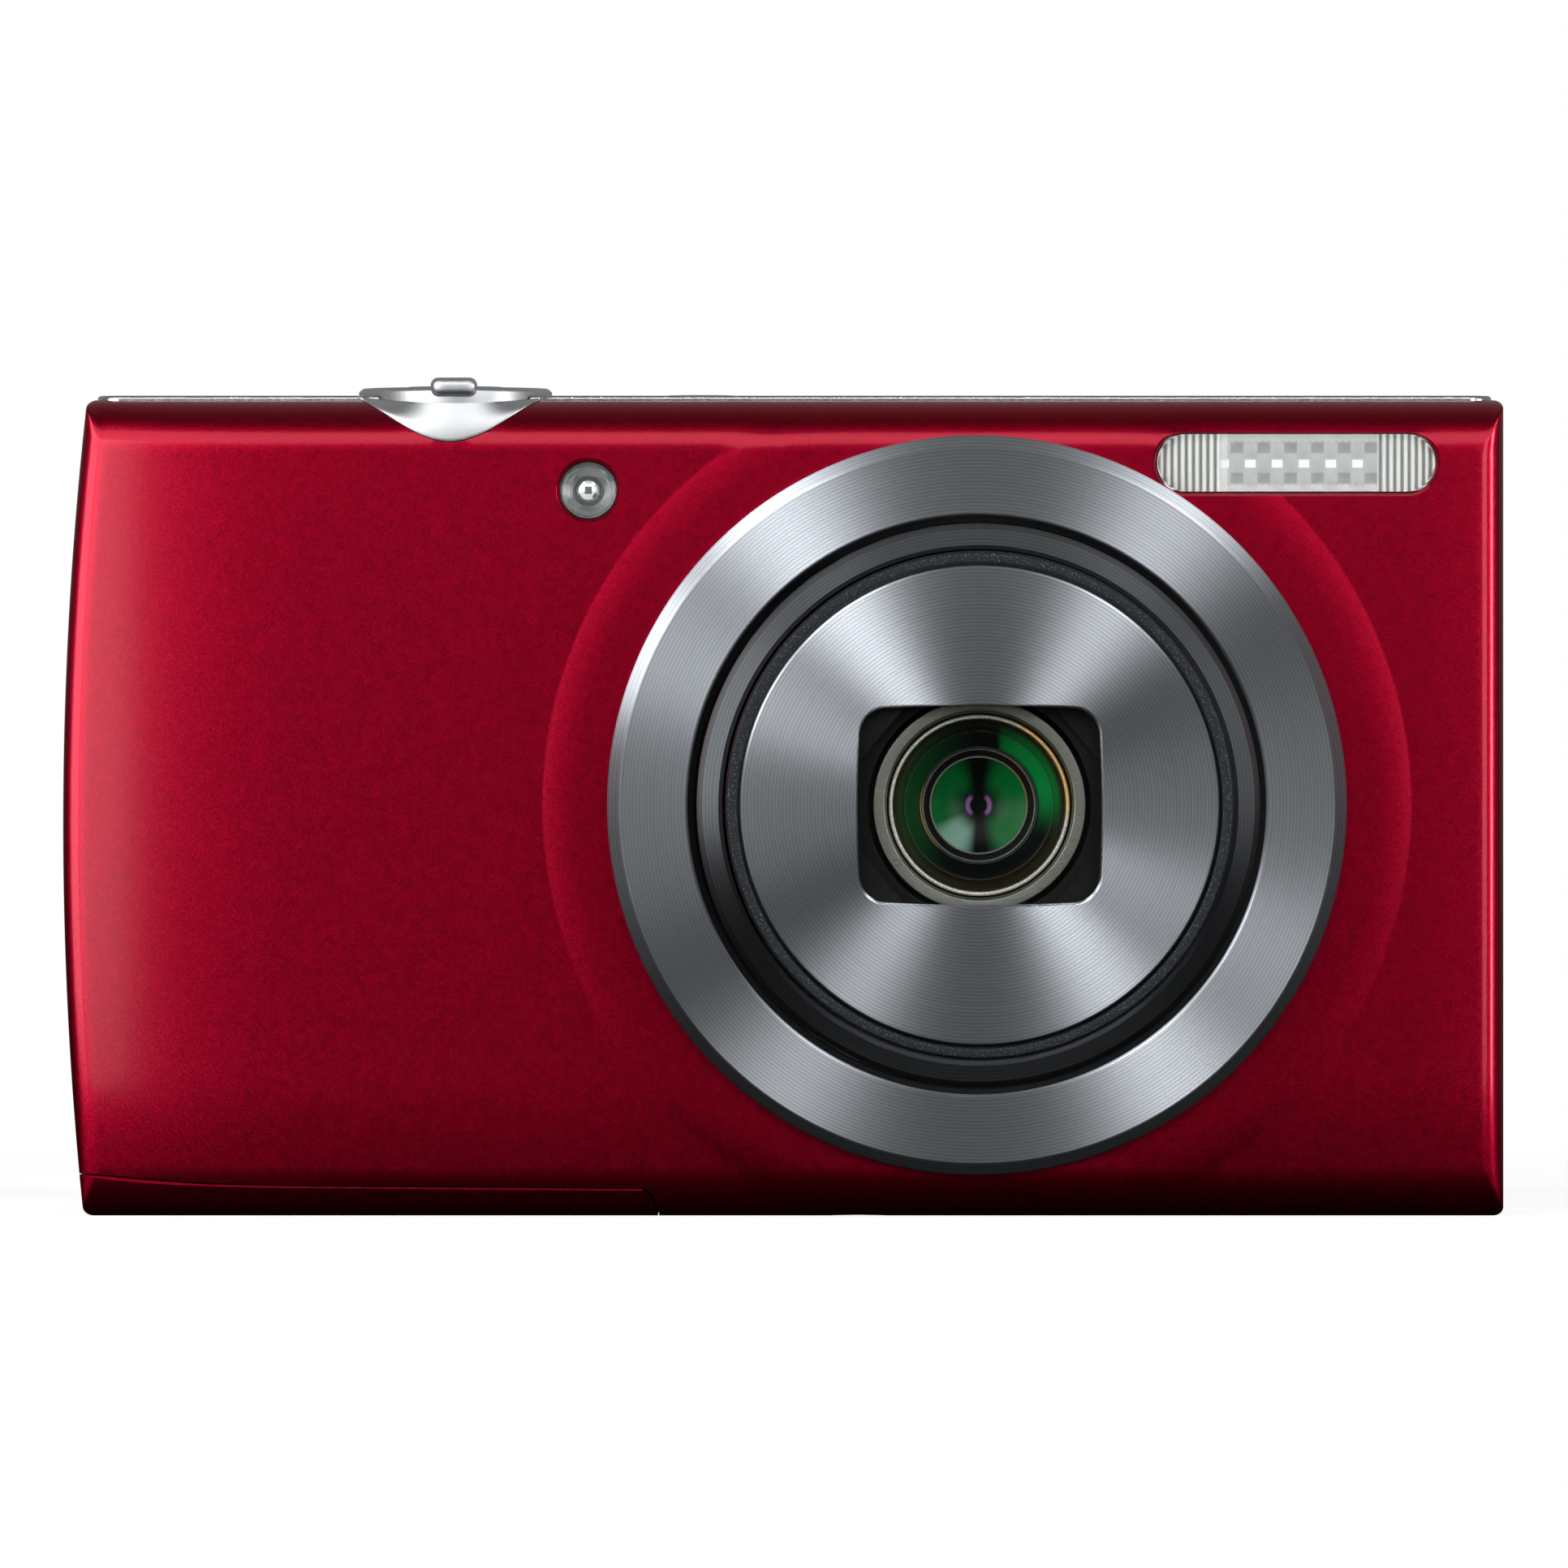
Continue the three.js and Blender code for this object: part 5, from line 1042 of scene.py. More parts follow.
class CAMERA_OT_lens(bpy.types.Operator):
    """Makes the bezel, both barrels, the front disc and the rings and glass of the front lens"""

    bl_idname = "scene.camera_lens"
    bl_label = "Lens"

    def execute(self, context):
        look = context.scene.lens_look
        centre = (LENS[0], 0, LENS[1])
        r = mm(look, "bezel_radius")
        lathe("bezel_spun", "spun_aluminium", "camera_body", centre, [
            (19.1, -10.12), (r - 0.3, -10.12), (r, -10.35, 0.08), (r, -11.34, 0.12), (r - 0.78, -12.1, 0.2),
            (19.22, -12.1, 0.12), (19.1, -11.95)], "lens_bezel_ring", steps=256, sharp=50)
        lathe("seal_rubber", "soft_rubber", "camera_body", centre, [
            (18.64, -10.33, 0.15), (20.4, -10.33), (20.4, -9.73), (18.64, -9.73, 0.15)], "lens_seal_ring")
        lathe("barrel_outer_spun", "spun_dark", "outer_barrel", centre, [
            (16.76, -20.8), (17.02, -21.0, 0.1), (18.1, -20.72, 0.12), (18.44, -20.3, 0.1), (18.44, -6.5),
            (18.9, -6.5), (18.9, -5), (16.8, -5), (16.8, -19.9)], "lens_barrel_1", steps=192, sharp=50)
        lathe("barrel_inner_graphite", "textured_graphite", "inner_barrel", centre, [
            (15.64, -28.6), (15.86, -28.85, 0.1), (16.4, -28.85, 0.12), (16.56, -28.6, 0.05), (16.56, -13.5),
            (15.7, -13.5), (15.64, -15)], "lens_barrel_2", steps=192, sharp=50)
        self.add_disc(look)
        self.add_front_lens(centre)
        return {"FINISHED"}

    def add_disc(self, look):
        """The spun disc, whose opening is a rectangle with bowed sides."""
        half_w, half_h = mm(look, "opening_width") / 2, mm(look, "opening_height") / 2
        corner, bulge, steps = 1.62, 0.25, 288

        def opening(angle, grow):
            """Where the opening's edge crosses a line from the middle."""
            w, h = half_w + grow, half_h + grow
            way = Vector((math.cos(angle), math.sin(angle)))
            reach = min(w / max(abs(way.x), 1e-9), h / max(abs(way.y), 1e-9))
            low, high = 0.0, reach + bulge
            for _ in range(24):
                middle = (low + high) / 2
                x, y = abs(way.x) * middle, abs(way.y) * middle
                side = w - bulge * (y / h) ** 2
                top = h - bulge * (x / w) ** 2
                dx, dy = x - (side - corner), y - (top - corner)
                inside = math.hypot(max(dx, 0), max(dy, 0)) < corner and x < side and y < top
                low, high = (middle, high) if inside else (low, middle)
            return way * low

        outer = [(15.6, -28.2), (15.6, -28.82), (15.42, -29.0)]
        rings = []
        for radius, y in outer:
            rings.append([(radius * across, radius * up, -y) for across, up in around(steps)])
        for grow, y in ((0.16, -29.0), (0.05, -28.96), (0.0, -28.85), (0.0, -28.2)):
            edge = [opening(TURN * i / steps, grow) for i in range(steps)]
            rings.append([(p.x, p.y, -y) for p in edge])
        disc = loft("front_disc_spun", rings, closed=True)
        disc.matrix_world = Matrix.Translation(Vector((LENS[0], 0, LENS[1])) * MM) @ STANDING["front"]
        finished(disc, "spun_aluminium", "inner_barrel", "lens_front_trim", sharp=50)

    def add_front_lens(self, centre):
        """The rings round the front glass and the stepped rings behind it, each with a flat foot."""
        lathe("lens_ring_metal", "champagne", "inner_barrel", centre, [
            (6.05, -26.35), (6.2, -26.6, 0.1), (6.9, -26.6, 0.1), (7.0, -26.45), (7.0, -22.1), (14.76, -22.0),
            (14.76, -21.0), (5.9, -21.0), (5.9, -24.9), (6.05, -25.4)], "front_lens_ring")
        rings = [
            ("lens_retainer", "beaded_ring", -25.2, [
                (5.64, -25.95), (5.70, -26.05, 0.03), (5.82, -26.05, 0.03), (5.9, -25.95)]),
            ("lens_gap", "brown_black", -22, [(5.9, -25.5), (6.1, -25.6)]),
            ("lens_seat", "coated_glass", -21.5, [(4.9, -24.1), (5.64, -25.3)]),
            ("lens_step_line", "fine_ring", -21.5, [(4.83, -24.05), (4.87, -24.14), (4.9, -24.05)]),
            ("lens_coated_outer", "coated_glass", -21.5, [(3.88, -23.0), (4.3, -23.3), (4.83, -23.9)]),
            # This step ring is dark metal with a painted gold reflection on one side.
            ("lens_step_gold_glint", "dark_ring_gold_glint", -21.6, [(3.76, -23.05), (3.82, -23.14, 0.03), (3.88, -23.05)]),
            ("lens_step_inner", "fine_ring", -21.5, [(3.6, -22.8), (3.68, -22.92, 0.04), (3.76, -22.8)]),
            ("lens_step_black", "matt_black", -21.5, [(3.22, -22.4), (3.6, -22.6)]),
            ("lens_step_bright", "beaded_ring", -21.4, [(3.1, -22.5), (3.14, -22.58), (3.22, -22.5)]),
        ]
        for name, look, foot, front in rings:
            profile = [*front, (front[-1][0], foot), (front[0][0], foot)]
            lathe(name, look, "inner_barrel", centre, profile, slot="dark_plastic")
        dome = [(5.62 * k / 12, -25.95 + 0.45 * (k / 12) ** 2) for k in range(13)]
        under = [(r * 0.99, y + 0.16) for r, y in reversed(dome)]
        glass = lathe("lens_front_glass", "lens_glass", "inner_barrel", centre, dome + under, "front_lens",
                      steps=96)
        glass.visible_shadow = False
        bowl = [(3.1 * k / 16, -21.6 - 0.8 * (k / 16) ** 2) for k in range(17)]
        bowl += [(3.1, -21.2), (0, -21.2)]
        lathe("lens_coated_element", "coated_glass", "inner_barrel", centre, bowl, steps=96)


class CAMERA_OT_top(bpy.types.Operator):
    """Makes the top plate with its lip, the zoom lever, the shutter button and the power button"""

    bl_idname = "scene.camera_top"
    bl_label = "Top plate and controls"

    def execute(self, context):
        look = context.scene.top_look
        edge = mm(look, "edge")
        plate = prism("top_plate_silver", plate_outline(), "z", PLATE["low"], PLATE["top"], edge)
        x, y = SHUTTER
        power_x, power_y, _ = middle_of("power_button")
        radius = mm(look, "lever_radius")
        tools = [
            prism("lever_room", circle(x, y, radius + 0.15, 96), "z", LIP_SHELF - 0.1, 60),
            prism("hub_room", circle(x, y, 3.9, 64), "z", 50, 60),
            prism("power_room", circle(power_x, power_y, 2.75, 64), "z", 50, 60),
        ]
        for i in range(5):
            tools.append(prism("sound_hole", circle(24 + 1.5 * (i - 2), 2.5, 0.4, 20), "z", 50, 60))
        for tool in tools:
            carve(plate, tool)
        finished(plate, "satin_silver", "camera_body", "top_cover", sharp=40)
        self.add_lip(radius)
        lathe("zoom_lever_ring", "blasted_silver", "zoom_lever", (x, y, 0), [
            (3.6, 53.45), (6.2, 53.4, 0.1), (radius, 53.55, 0.1), (radius, 54.55, 0.2), (6.12, 54.78, 0.14),
            (3.9, 54.72, 0.2), (3.6, 54.4, 0.1)], "zoom_lever", way="up", steps=160, sharp=60)
        self.add_tab(x, y)
        lathe("shutter_button_cap", "satin_silver", "shutter_button", (x, y, 0), [
            (0, 54.68), (1.2, 54.7), (2.2, 54.78), (2.8, 54.88), (3.1, 54.9), (3.3, 54.82), (3.4, 54.6),
            (3.4, 52.2), (0, 52.2)], "shutter_button", way="up", steps=96, sharp=60)
        lathe("power_button_cap", "satin_silver", "power_button", (power_x, power_y, 0), [
            (0, 54.3), (1.6, 54.34), (2.3, 54.4), (2.52, 54.36), (2.6, 54.2), (2.6, 52.2),
            (0, 52.2)], "power_button", way="up", steps=96, sharp=60)
        return {"FINISHED"}

    def add_tab(self, x, y):
        """The lever's finger tab, a pill that swells from its front end."""
        half, rise, middle = 1.53, 0.63, 54.77
        shares = [(-7.0, 0.40, 0.20), (-6.98, 0.66, 0.42), (-6.9, 0.84, 0.68), (-6.76, 0.94, 0.86),
                  (-6.55, 0.99, 0.97), (-6.3, 1.0, 1.0), (-5.4, 1.0, 1.0), (-4.6, 0.96, 0.9),
                  (-4.1, 0.86, 0.7), (-3.9, 0.7, 0.5)]
        rings = []
        for dy, wide, tall in shares:
            across, up = half * wide, rise * tall
            corner = 0.95 * up if tall < 0.9 else 0.5
            ring = rectangle(x - across, x + across, middle - up, middle + up, corner)
            rings.append([(p.x, y + dy, p.y) for p in ring])
        finished(loft("zoom_lever_tab", rings), "blasted_silver", "zoom_lever", sharp=60)

    def add_lip(self, radius):
        """The smile-shaped apron in front of the lever, a thin shell whose foot stands proud of the paint."""
        x0, y0 = SHUTTER
        rings = []
        for k in range(129):
            dx = radius * (k / 64 - 1)
            top, low = lip_top(dx), lip_low(dx)
            y_top = min(PLATE["front"], y0 - math.sqrt(max(0, (radius + 0.22) ** 2 - dx ** 2)))
            y_low = min(PLATE["front"], front_at(low)) - 0.06
            face = []
            for row in range(13):
                t = row / 12
                face.append((y_top + (y_low - y_top) * math.sin(t * math.pi / 2), top + (low - top) * t))
            hidden = y_top + 0.12 if low > LIP_SHELF - 0.1 else PLATE["front"] + 0.3
            shelf = max(LIP_SHELF, low + 0.01)
            under = [(y_low + 0.02, low - 0.04), (y_low + 0.16, low - 0.07)]
            back = [(hidden, low - 0.03), (hidden, shelf), (y_top + 0.12, shelf)]
            back.append((y_top + 0.12, max(top, shelf + 0.01)))
            rings.append([(x0 + dx, y, z) for y, z in face + under + back])
        finished(loft("shutter_lip", rings), "blasted_silver", "camera_body", sharp=60)


class CAMERA_OT_windows(bpy.types.Operator):
    """Makes the flash window and the focus lamp window with the optics behind them"""

    bl_idname = "scene.camera_windows"
    bl_label = "Flash and focus lamp"

    def execute(self, context):
        low, high = corners("flash_window")
        radius = (high.z - low.z) / 2 - 0.01
        outline = rectangle(low.x, high.x, low.z, high.z, radius, 12)
        pane = prism("flash_pane", outline, "y", low.y, low.y + 0.45, 0.1)
        finished(pane, "clear_window", "camera_body", "flash_window")
        pane.visible_shadow = False
        self.add_flash_optic(low, high, radius)
        self.add_focus_lamp()
        return {"FINISHED"}

    def add_flash_optic(self, low, high, radius):
        """Upright ribs at both ends, and between them rows of small facets that each lean their own way."""
        middle = Vector(((low.x + high.x) / 2, 0, (low.z + high.z) / 2))
        half, base = (high.x - low.x) / 2 - 0.05, low.y + 0.8
        columns, rows = 230, 40

        def relief(dx, dz):
            """Height of the relief at a place across and up from the middle."""
            if abs(dx - FACETS_MIDDLE) > FACETS_REACH:
                return 0.09 * math.sin(TURN * dx / RIB_PITCH)
            wave = math.sin((dx + FACET_START) * TURN / FACET_PITCH)
            return 0.06 * wave * math.cos(TURN * dz / 2.0)

        points, faces = [], []
        for i in range(columns + 1):
            dx = -half + 2 * half * i / columns
            over = max(0.0, abs(dx) - (half - radius))
            tall = math.sqrt(max(0.0004, radius ** 2 - over ** 2)) - 0.04
            for k in range(rows + 1):
                v = -1 + 2 * k / rows
                points.append((middle.x + dx, base - relief(dx, v * tall), middle.z + v * tall))
            if i:
                for k in range(rows):
                    a = (i - 1) * (rows + 1) + k
                    faces.append((a, a + 1, a + rows + 2, a + rows + 1))
        optic = object_from("flash_optic", points, faces)
        finished(optic, "flash_prism", "camera_body", sharp=40)

    def add_focus_lamp(self):
        centre = line_through("focus_lamp_window")
        y = corners("focus_lamp_window")[0].y

        def behind(profile):
            """A profile whose places are measured back from the window's face."""
            return [(p[0], y + p[1], *p[2:]) for p in profile]

        pane = lathe("lamp_pane", "clear_window", "camera_body", centre, behind([
            (0, 0), (0.7, 0.015), (1.3, 0.07), (1.66, 0.16), (1.82, 0.3), (1.84, 0.5),
            (0, 0.5)]), "focus_lamp_window", steps=64)
        pane.visible_shadow = False
        lathe("lamp_dish", "lamp_grey", "camera_body", centre, behind([
            (0.86, 1.05), (0.9, 0.75, 0.04), (0.98, 1.0, 0.05), (1.7, 0.62), (1.84, 0.55), (1.84, 1.35),
            (0.86, 1.35)]), steps=64)
        lathe("lamp_bead", "bright_metal", "camera_body", centre, behind([
            (0, 0.78), (0.3, 0.8), (0.6, 0.92), (0.8, 1.12), (0.8, 1.3), (0, 1.3)]), steps=48)
        x, _, z = centre
        outline = rectangle(x - 0.24, x + 0.24, z - 0.24, z + 0.24, 0.05)
        finished(prism("lamp_chip", outline, "y", y + 0.7, y + 0.95, 0.03), "lamp_grey", "camera_body")


class CAMERA_OT_back(bpy.types.Operator):
    """Makes the screen's pane, the controls on the back, the terminal cover, screws and tripod thread"""

    bl_idname = "scene.camera_back"
    bl_label = "Back and small fittings"

    def execute(self, context):
        low, high = corners("screen_window")
        pane = prism("screen_pane", rectangle(low.x, high.x, low.z, high.z, 1.2), "y", low.y, high.y, 0.14)
        finished(pane, "screen_glass", "camera_body", "screen_window")
        self.add_buttons()
        self.add_pad()
        self.add_terminal_cover()
        self.add_screws()
        self.add_thread()
        rest = [(-44.6 + 1.5 * i + 0.75 * (k % 2), 45.2 + 1.3 * k) for k in range(4) for i in range(4)]
        self.add_bumps("thumb_dots", rest, 9.98, 0.42, 0.24, "red_paint", "camera_body")
        return {"FINISHED"}

    def add_thread(self):
        """The ridges of the tripod socket's thread, as rings."""
        x, y, _ = middle_of("tripod_socket")
        foot = corners("tripod_socket")[0].z + 0.3
        pitch, turns, wall, root, crest = 0.26, 17, 3.3, 3.17, 2.88
        rows = []
        for i in range(turns):
            z = foot + pitch * i
            rows += [(root, z), (crest, z + pitch / 2)]
        thread = [(wall, foot), *rows, (wall, rows[-1][1])]
        lathe("socket_thread", "brass", "camera_body", (x, y, 0), thread, way="up", steps=64, sharp=20)

    def add_bumps(self, name, places, y, radius, height, look, body):
        """Small round bumps on a face that looks back, as one piece."""
        profile = [(1.0, -0.4), (1.0, 0.0), (0.92, 0.38), (0.72, 0.7), (0.4, 0.92)]
        count = 20
        points, faces = [], []
        for x, z in places:
            start = len(points)
            rings = [[(p.x, y + height * h, p.y) for p in circle(x, z, radius * r, count)]
                     for r, h in profile]
            points += [p for ring in rings for p in ring]
            points.append((x, y + height, z))
            tip = len(points) - 1
            faces += skin(rings, start=start)
            faces += [(tip - count + i, tip - count + (i + 1) % count, tip) for i in range(count)]
            faces.append(tuple(range(start, start + count)))
        finished(object_from(name, points, faces), look, body)

    def add_buttons(self):
        for name in ("movie_button", "playback_button", "menu_button"):
            lathe(f"{name}_cap", "satin_silver", name, line_through(name), [
                (0, 10.26), (1.5, 10.3), (2.15, 10.38), (2.34, 10.38), (2.46, 10.3), (2.5, 10.1), (2.5, 9.0),
                (0, 9.0)], name, steps=72, sharp=50)
        lathe("movie_dot", "orange_plastic", "movie_button", line_through("movie_button"), [
            (0, 10.36), (0.5, 10.34), (0.74, 10.28), (0.74, 10.1), (0, 10.1)], steps=40)
        lathe("set_button_cap", "satin_silver", "set_button", line_through("set_button"), [
            (0, 10.14), (1.6, 10.18), (2.9, 10.36), (3.3, 10.4), (3.52, 10.33), (3.6, 10.1), (3.6, 9.0),
            (0, 9.0)], "set_button", steps=96, sharp=50)

    def add_pad(self):
        x, _, z = line_through("four_way_pad")
        lathe("pad_ring", "satin_silver", "four_way_pad", (x, 0, z), [
            (3.9, 9.3), (3.9, 10.22, 0.1), (4.5, 10.4, 0.15), (6.2, 10.24, 0.8), (7.9, 10.46, 0.3),
            (8.4, 10.42, 0.12), (8.5, 10.1, 0.1), (8.5, 9.3)], "four_way_pad", steps=160, sharp=50)
        self.add_bumps("pad_dots", circle(x, z, 6.2, 4), 10.2, 0.34, 0.16, "dark_plastic", "four_way_pad")

    def add_terminal_cover(self):
        low, high = corners("terminal_cover")
        roll = (high.x - low.x) / 2 - 0.01
        outline = rounded([
            (low.x, low.y, 0.1), (high.x, low.y, 0.25), (high.x, high.y, roll), (low.x, high.y, roll)])
        cover = prism("terminal_flap", outline, "z", low.z, high.z, 0.22)
        nail = circle((low.y + high.y) / 2, low.z - 0.55, 1.5, 48)
        carve(cover, prism("notch", nail, "x", high.x - 0.35, high.x + 1))
        finished(cover, "soft_rubber", "terminal_cover", "terminal_cover")

    def add_screws(self):
        """Screws that the CAD leaves out, with a cross recess."""
        for i, (way, place) in enumerate(SCREW_SEATS[3:]):
            u, v, w = {"z": (0, 1, 2)}.get(way, (1, 2, 0))
            sign = 1 if way == "x" else -1
            outer, inner = place[w], place[w] - sign * 0.6
            axis = way[-1]
            rim = circle(place[u], place[v], SCREW_RADIUS, 40)
            head = prism(f"cover_screw_{i + 1}", rim, axis, *sorted((outer, inner)), 0.12)
            for across, up in ((0.16, 0.75), (0.75, 0.16)):
                arm = rectangle(place[u] - across, place[u] + across, place[v] - up, place[v] + up)
                carve(head, prism("arm", arm, axis, *sorted((outer - sign * 0.35, outer + sign))))
            finished(head, "steel", "camera_body")


class CAMERA_OT_nodes(bpy.types.Operator):
    """Gives every CAD node that still shows its finish"""

    bl_idname = "scene.camera_nodes"
    bl_label = "Finishes of the inner parts"

    NODES_OF = {
        "battery_wrap": ["battery"],
        "bright_metal": ["strap_lug", "flash_reflector"],
        "brass": ["tripod_socket"],
        "circuit_board": ["main_board", "top_board", "button_board"],
        "clear_window": ["flash_tube", "focus_lamp_window"],
        "coated_glass": ["middle_lens"],
        "dark_plastic": ["battery_cage", "memory_card", "lens_housing", "lens_base", "flash_capacitor",
                         "speaker", "screen_panel", "drive_ring", "focus_lens_group", "pad_pivot"],
        "matt_black": ["barrier_base", "aperture_unit", "barrier_blade_upper_left",
                       "barrier_blade_lower_left", "barrier_blade_upper_right", "barrier_blade_lower_right"],
        "orange_plastic": ["battery_lock"],
        "satin_silver": ["movie_button", "playback_button", "menu_button", "set_button", "four_way_pad"],
        "screen_glass": ["image_sensor", "screen_window"],
        "soft_rubber": ["terminal_cover"],
        "steel": ["card_slot", "terminal_connector", "chassis", "screw_base", "screw_right_side",
                  "screw_left_side", "zoom_motor", "door_hinge_bar"],
        "white_plastic": ["focus_lamp_led", "motor_pinion"],
    }

    def execute(self, context):
        for look, nodes in self.NODES_OF.items():
            for node in nodes:
                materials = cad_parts[node].data.materials
                materials.clear()
                materials.append(finish(look))
        return {"FINISHED"}


class CAMERA_OT_studio(bpy.types.Operator):
    """Sets up the floor, the lamps, the world and the viewing camera"""

    bl_idname = "scene.camera_studio"
    bl_label = "Studio"

    def execute(self, context):
        look = context.scene.studio_look
        context.scene.view_settings.view_transform = "Standard"
        self.add_view(context, look)
        self.add_floor()
        self.add_world(context)
        spun = ("bezel_spun", "front_disc_spun")
        rings = (*spun, "barrel_outer_spun")
        silver = ("shutter_lip", "zoom_lever_ring", "zoom_lever_tab", "top_plate_silver",
                  "shutter_button_cap")
        lamps = [
            ("lamp_top", (0, -365, 221), (0, -6, 45), (420, 180), 1.55, rings),
            ("lamp_upper_left", (-285, -468, 453), (12, -12, 27), (200, 160), 3.0, ()),
            ("lamp_upper_right", (311, -468, 453), (12, -12, 27), (200, 160), 3.0, ()),
            ("lamp_left", (-190, -400, 50), (-20, -10, 30), (150, 260), 3.2, spun),
            ("lamp_left_side", (-231, -194, 85), (-47, 0, 30), (120, 260), 4.4, spun),
            ("lamp_right", (220, -430, 60), (20, -10, 30), (140, 260), 3.2, spun),
            ("lamp_right_side", (330, -200, 60), (47, 0, 27), (60, 260), 12.0, rings),
        ]
        cards = [
            ("card_left", (-260, -430, 60), (-12, -12, 27), (160, 260), 3.0, spun),
            ("card_right", (260, -430, 60), (12, -12, 27), (160, 260), 1.2, spun),
            ("card_far_left", (-470, -300, 270), (12, -12, 27), (200, 200), 24.0, spun),
            ("card_upper_left", (-285, -468, 453), (12, -12, 27), (200, 160), 52.0, spun),
            ("card_upper_right", (311, -468, 453), (12, -12, 27), (180, 160), 34.0, spun),
            ("card_top", (0, -330, 270), (12, -12, 27), (420, 300), 1.0, rings),
            ("card_silver", (-20, -330, 330), (-21, -8, 53), (420, 260), 0.95, silver),
        ]
        for name, place, aim, size, brightness, spared in lamps:
            lamp = self.add_lamp(name, place, aim, size, brightness * look.light)
            if spared:
                self.link_light(lamp, (*spared, "lens_front_glass"), "EXCLUDE")
        for name, place, aim, size, brightness, lit in cards:
            card = self.add_lamp(name, place, aim, size, brightness * look.light)
            card.data.use_shadow = False
            card.data.cycles.use_multiple_importance_sampling = False
            self.link_light(card, lit, "INCLUDE")
        return {"FINISHED"}

    def link_light(self, lamp, names, state):
        """Keeps a lamp's light to these pieces, or away from them, as cards and flags in a studio do."""
        linked = bpy.data.collections.new(lamp.name)
        for name in names:
            linked.objects.link(bpy.data.objects[name])
        for entry in linked.collection_objects:
            entry.light_linking.link_state = state
        lamp.light_linking.receiver_collection = linked

    def add_view(self, context, look):
        data = bpy.data.cameras.new("view")
        data.lens = look.lens
        data.sensor_width = 36
        data.clip_start = 0.05
        data.clip_end = 50
        view = bpy.data.objects.new("view", data)
        view.location = (0.054 * MM, -look.distance, 28.55 * MM)
        view.rotation_euler = (math.pi / 2, 0, 0)
        context.scene.collection.objects.link(view)
        context.scene.camera = view

    def add_lamp(self, name, place, aim, size, brightness):
        data = bpy.data.lights.new(name, "AREA")
        data.shape = "RECTANGLE"
        data.size, data.size_y = size[0] * MM, size[1] * MM
        data.energy = brightness * math.pi * data.size * data.size_y
        lamp = bpy.data.objects.new(name, data)
        lamp.location = Vector(place) * MM
        lamp.rotation_euler = (Vector(aim) - Vector(place)).to_track_quat("-Z", "Y").to_euler()
        lamp.visible_camera = False
        bpy.context.scene.collection.objects.link(lamp)
        return lamp

    def straight_view(self, n):
        """1 for what the eye sees directly or through glass, and 0 for light that falls on the object."""
        path = n.add("ShaderNodeLightPath")
        through_glass = path["Is Transmission Ray"] * (1 - path["Diffuse Depth"].least(1.0))
        return path["Is Camera Ray"].most(through_glass)

    def add_floor(self):
        reach, z = 9000, -0.02
        floor = object_from("floor", [
            (-reach, -reach, z), (reach, -reach, z), (reach, reach, z), (-reach, reach, z)], [(0, 1, 2, 3)])
        n = new_nodes("floor_white")
        seen = self.straight_view(n)
        grain = n.noise(30).ramp(0.2, 0.8, 0.9, 1.0)
        tone = n.blend(seen, (0.01, 0.01, 0.01), (2.8, 2.8, 2.8))
        lit = n.add("ShaderNodeBsdfDiffuse", {}, {"Color": n.vector("SCALE", tone, scale=grain)})[0]
        white = n.add("ShaderNodeEmission", {}, {"Color": (1, 1, 1, 1), "Strength": 1.0})[0]
        share = seen * n.length(n.place()).ramp(0.08, 0.25, 0.72, 1.0)
        mixed = n.add("ShaderNodeMixShader", {}, {0: share, 1: lit, 2: white})[0]
        n.add("ShaderNodeOutputMaterial", {}, {"Surface": mixed})
        floor.data.materials.append(n.owner)
        floor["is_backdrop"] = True

    def add_world(self, context):
        """White for the eye. The object reflects a studio that is dark in front and lighter behind."""
        world = bpy.data.worlds.new("studio")
        context.scene.world = world
        n = Nodes(world)
        seen = self.straight_view(n)
        toward = n.add("ShaderNodeSeparateXYZ", {}, {0: n.add("ShaderNodeTexCoord")["Generated"]})[1]
        strength = toward.ramp(-0.6, 0.6, 0.03, 0.28)
        dim = n.add("ShaderNodeBackground", {}, {"Color": (1, 1, 1, 1), "Strength": strength})[0]
        white = n.add("ShaderNodeBackground", {}, {"Color": (1, 1, 1, 1), "Strength": 1.0})[0]
        mixed = n.add("ShaderNodeMixShader", {}, {0: seen, 1: dim, 2: white})[0]
        n.add("ShaderNodeOutputWorld", {}, {"Surface": mixed})


class CAMERA_PT_parts(bpy.types.Panel):
    """Lists the camera's pieces and their settings in the sidebar"""

    bl_label = "Compact camera"
    bl_idname = "CAMERA_PT_parts"
    bl_space_type = "VIEW_3D"
    bl_region_type = "UI"
    bl_category = "Camera"

    def draw(self, context):
        for name in LOOKS:
            box = self.layout.box()
            look = getattr(context.scene, name)
            for setting in look.__annotations__:
                box.prop(look, setting)
        for operator in OPERATORS:
            self.layout.operator(operator.bl_idname)


LOOKS = {"body_look": BodyLook, "lens_look": LensLook, "top_look": TopLook, "studio_look": StudioLook}
OPERATORS = (
    CAMERA_OT_covers, CAMERA_OT_lens, CAMERA_OT_top, CAMERA_OT_windows, CAMERA_OT_back, CAMERA_OT_nodes,
    CAMERA_OT_studio,
)


def register():
    for name, look in LOOKS.items():
        bpy.utils.register_class(look)
        setattr(bpy.types.Scene, name, bpy.props.PointerProperty(type=look))
    for part in (*OPERATORS, CAMERA_PT_parts):
        bpy.utils.register_class(part)


def unregister():
    for part in reversed((*OPERATORS, CAMERA_PT_parts)):
        bpy.utils.unregister_class(part)
    for name, look in LOOKS.items():
        delattr(bpy.types.Scene, name)
        bpy.utils.unregister_class(look)


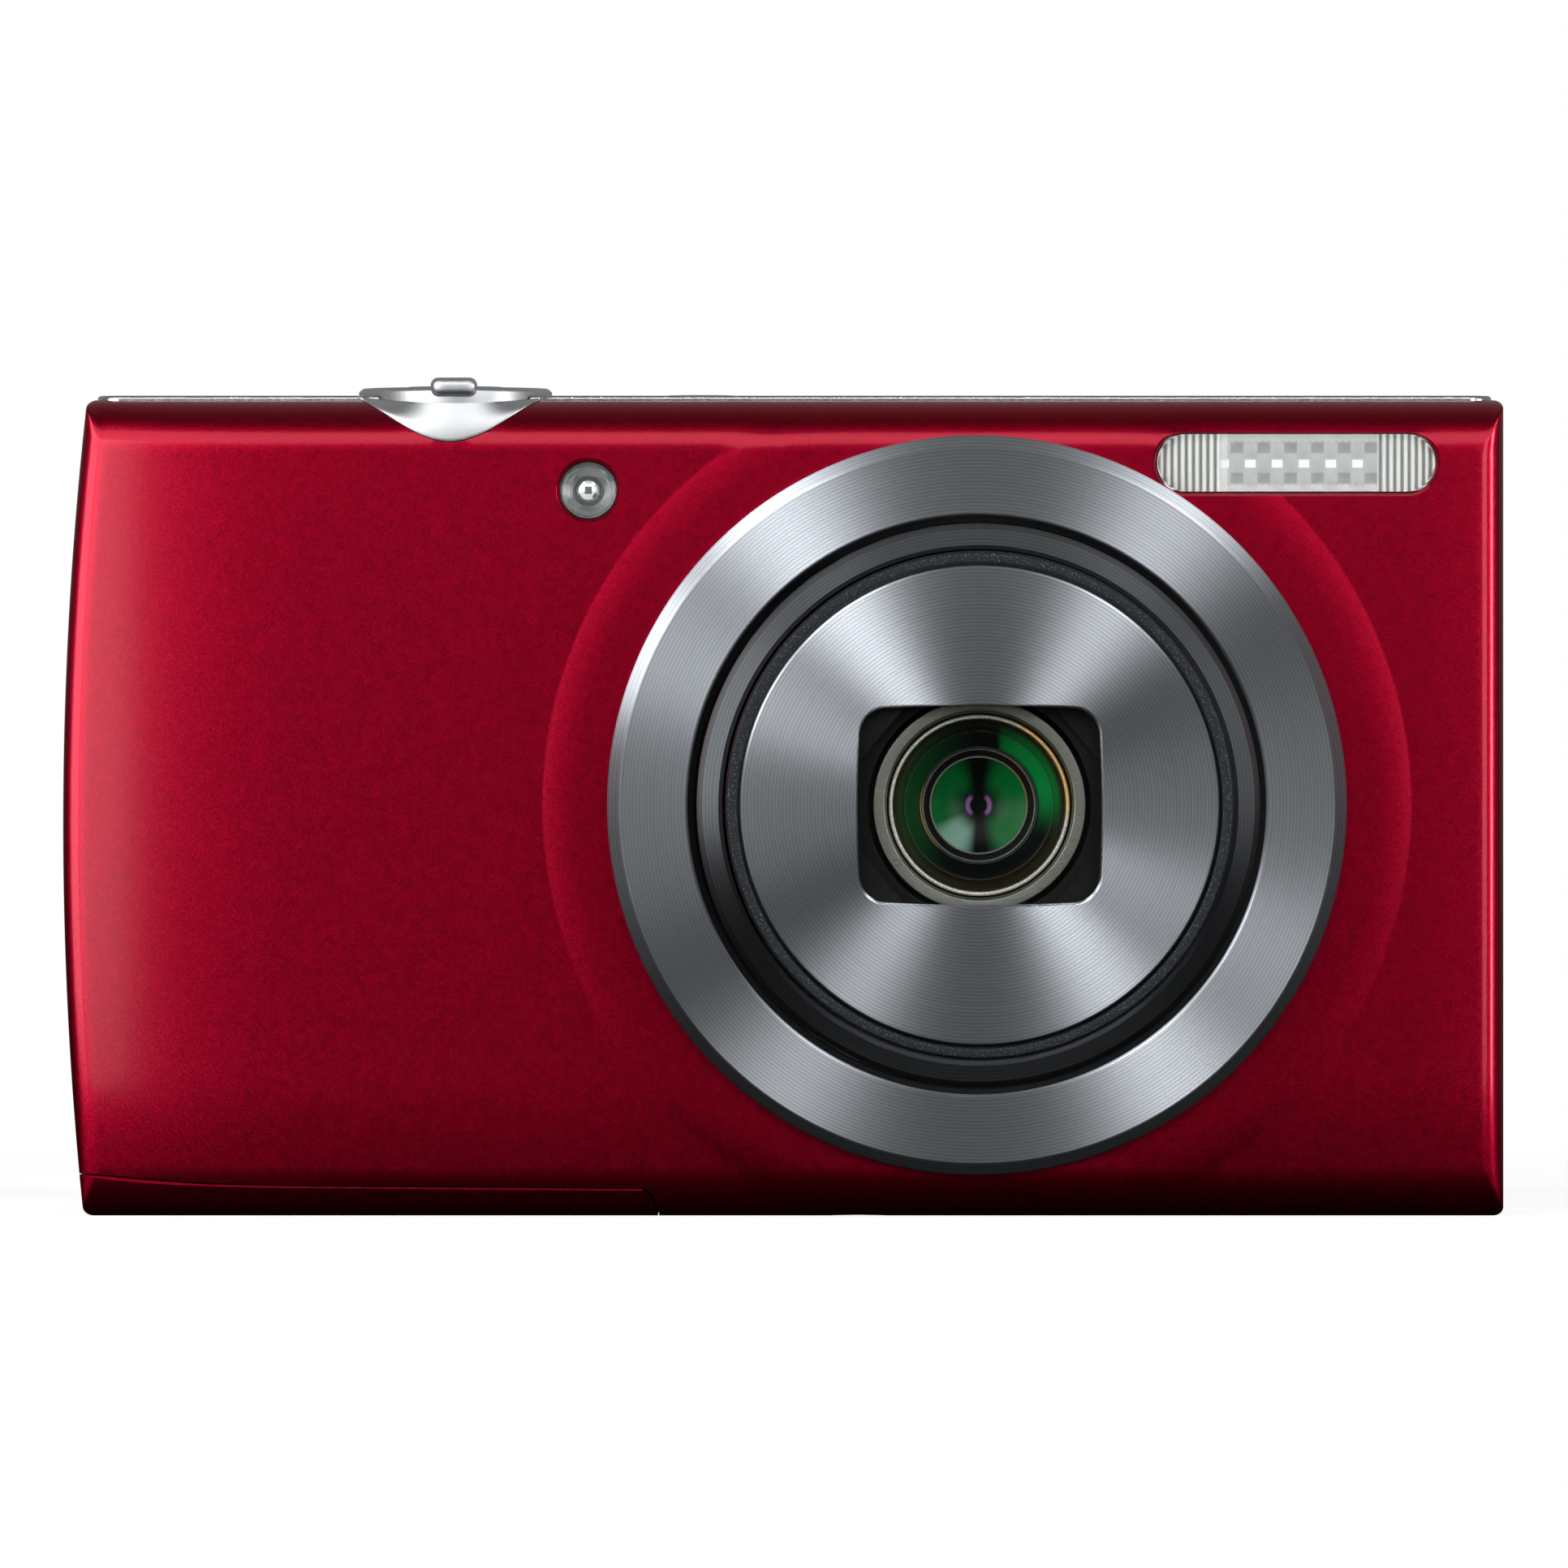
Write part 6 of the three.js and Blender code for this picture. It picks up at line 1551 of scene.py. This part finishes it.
def main():
    register()
    make_finishes()
    for operator in OPERATORS:
        group, name = operator.bl_idname.split(".")
        getattr(getattr(bpy.ops, group), name)()
    boxes = {"cad": CAD_BOX, "visual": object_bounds()}
    boxes = {name: [list(corner) for corner in box] for name, box in boxes.items()}


if __name__ == "__main__":
    main()
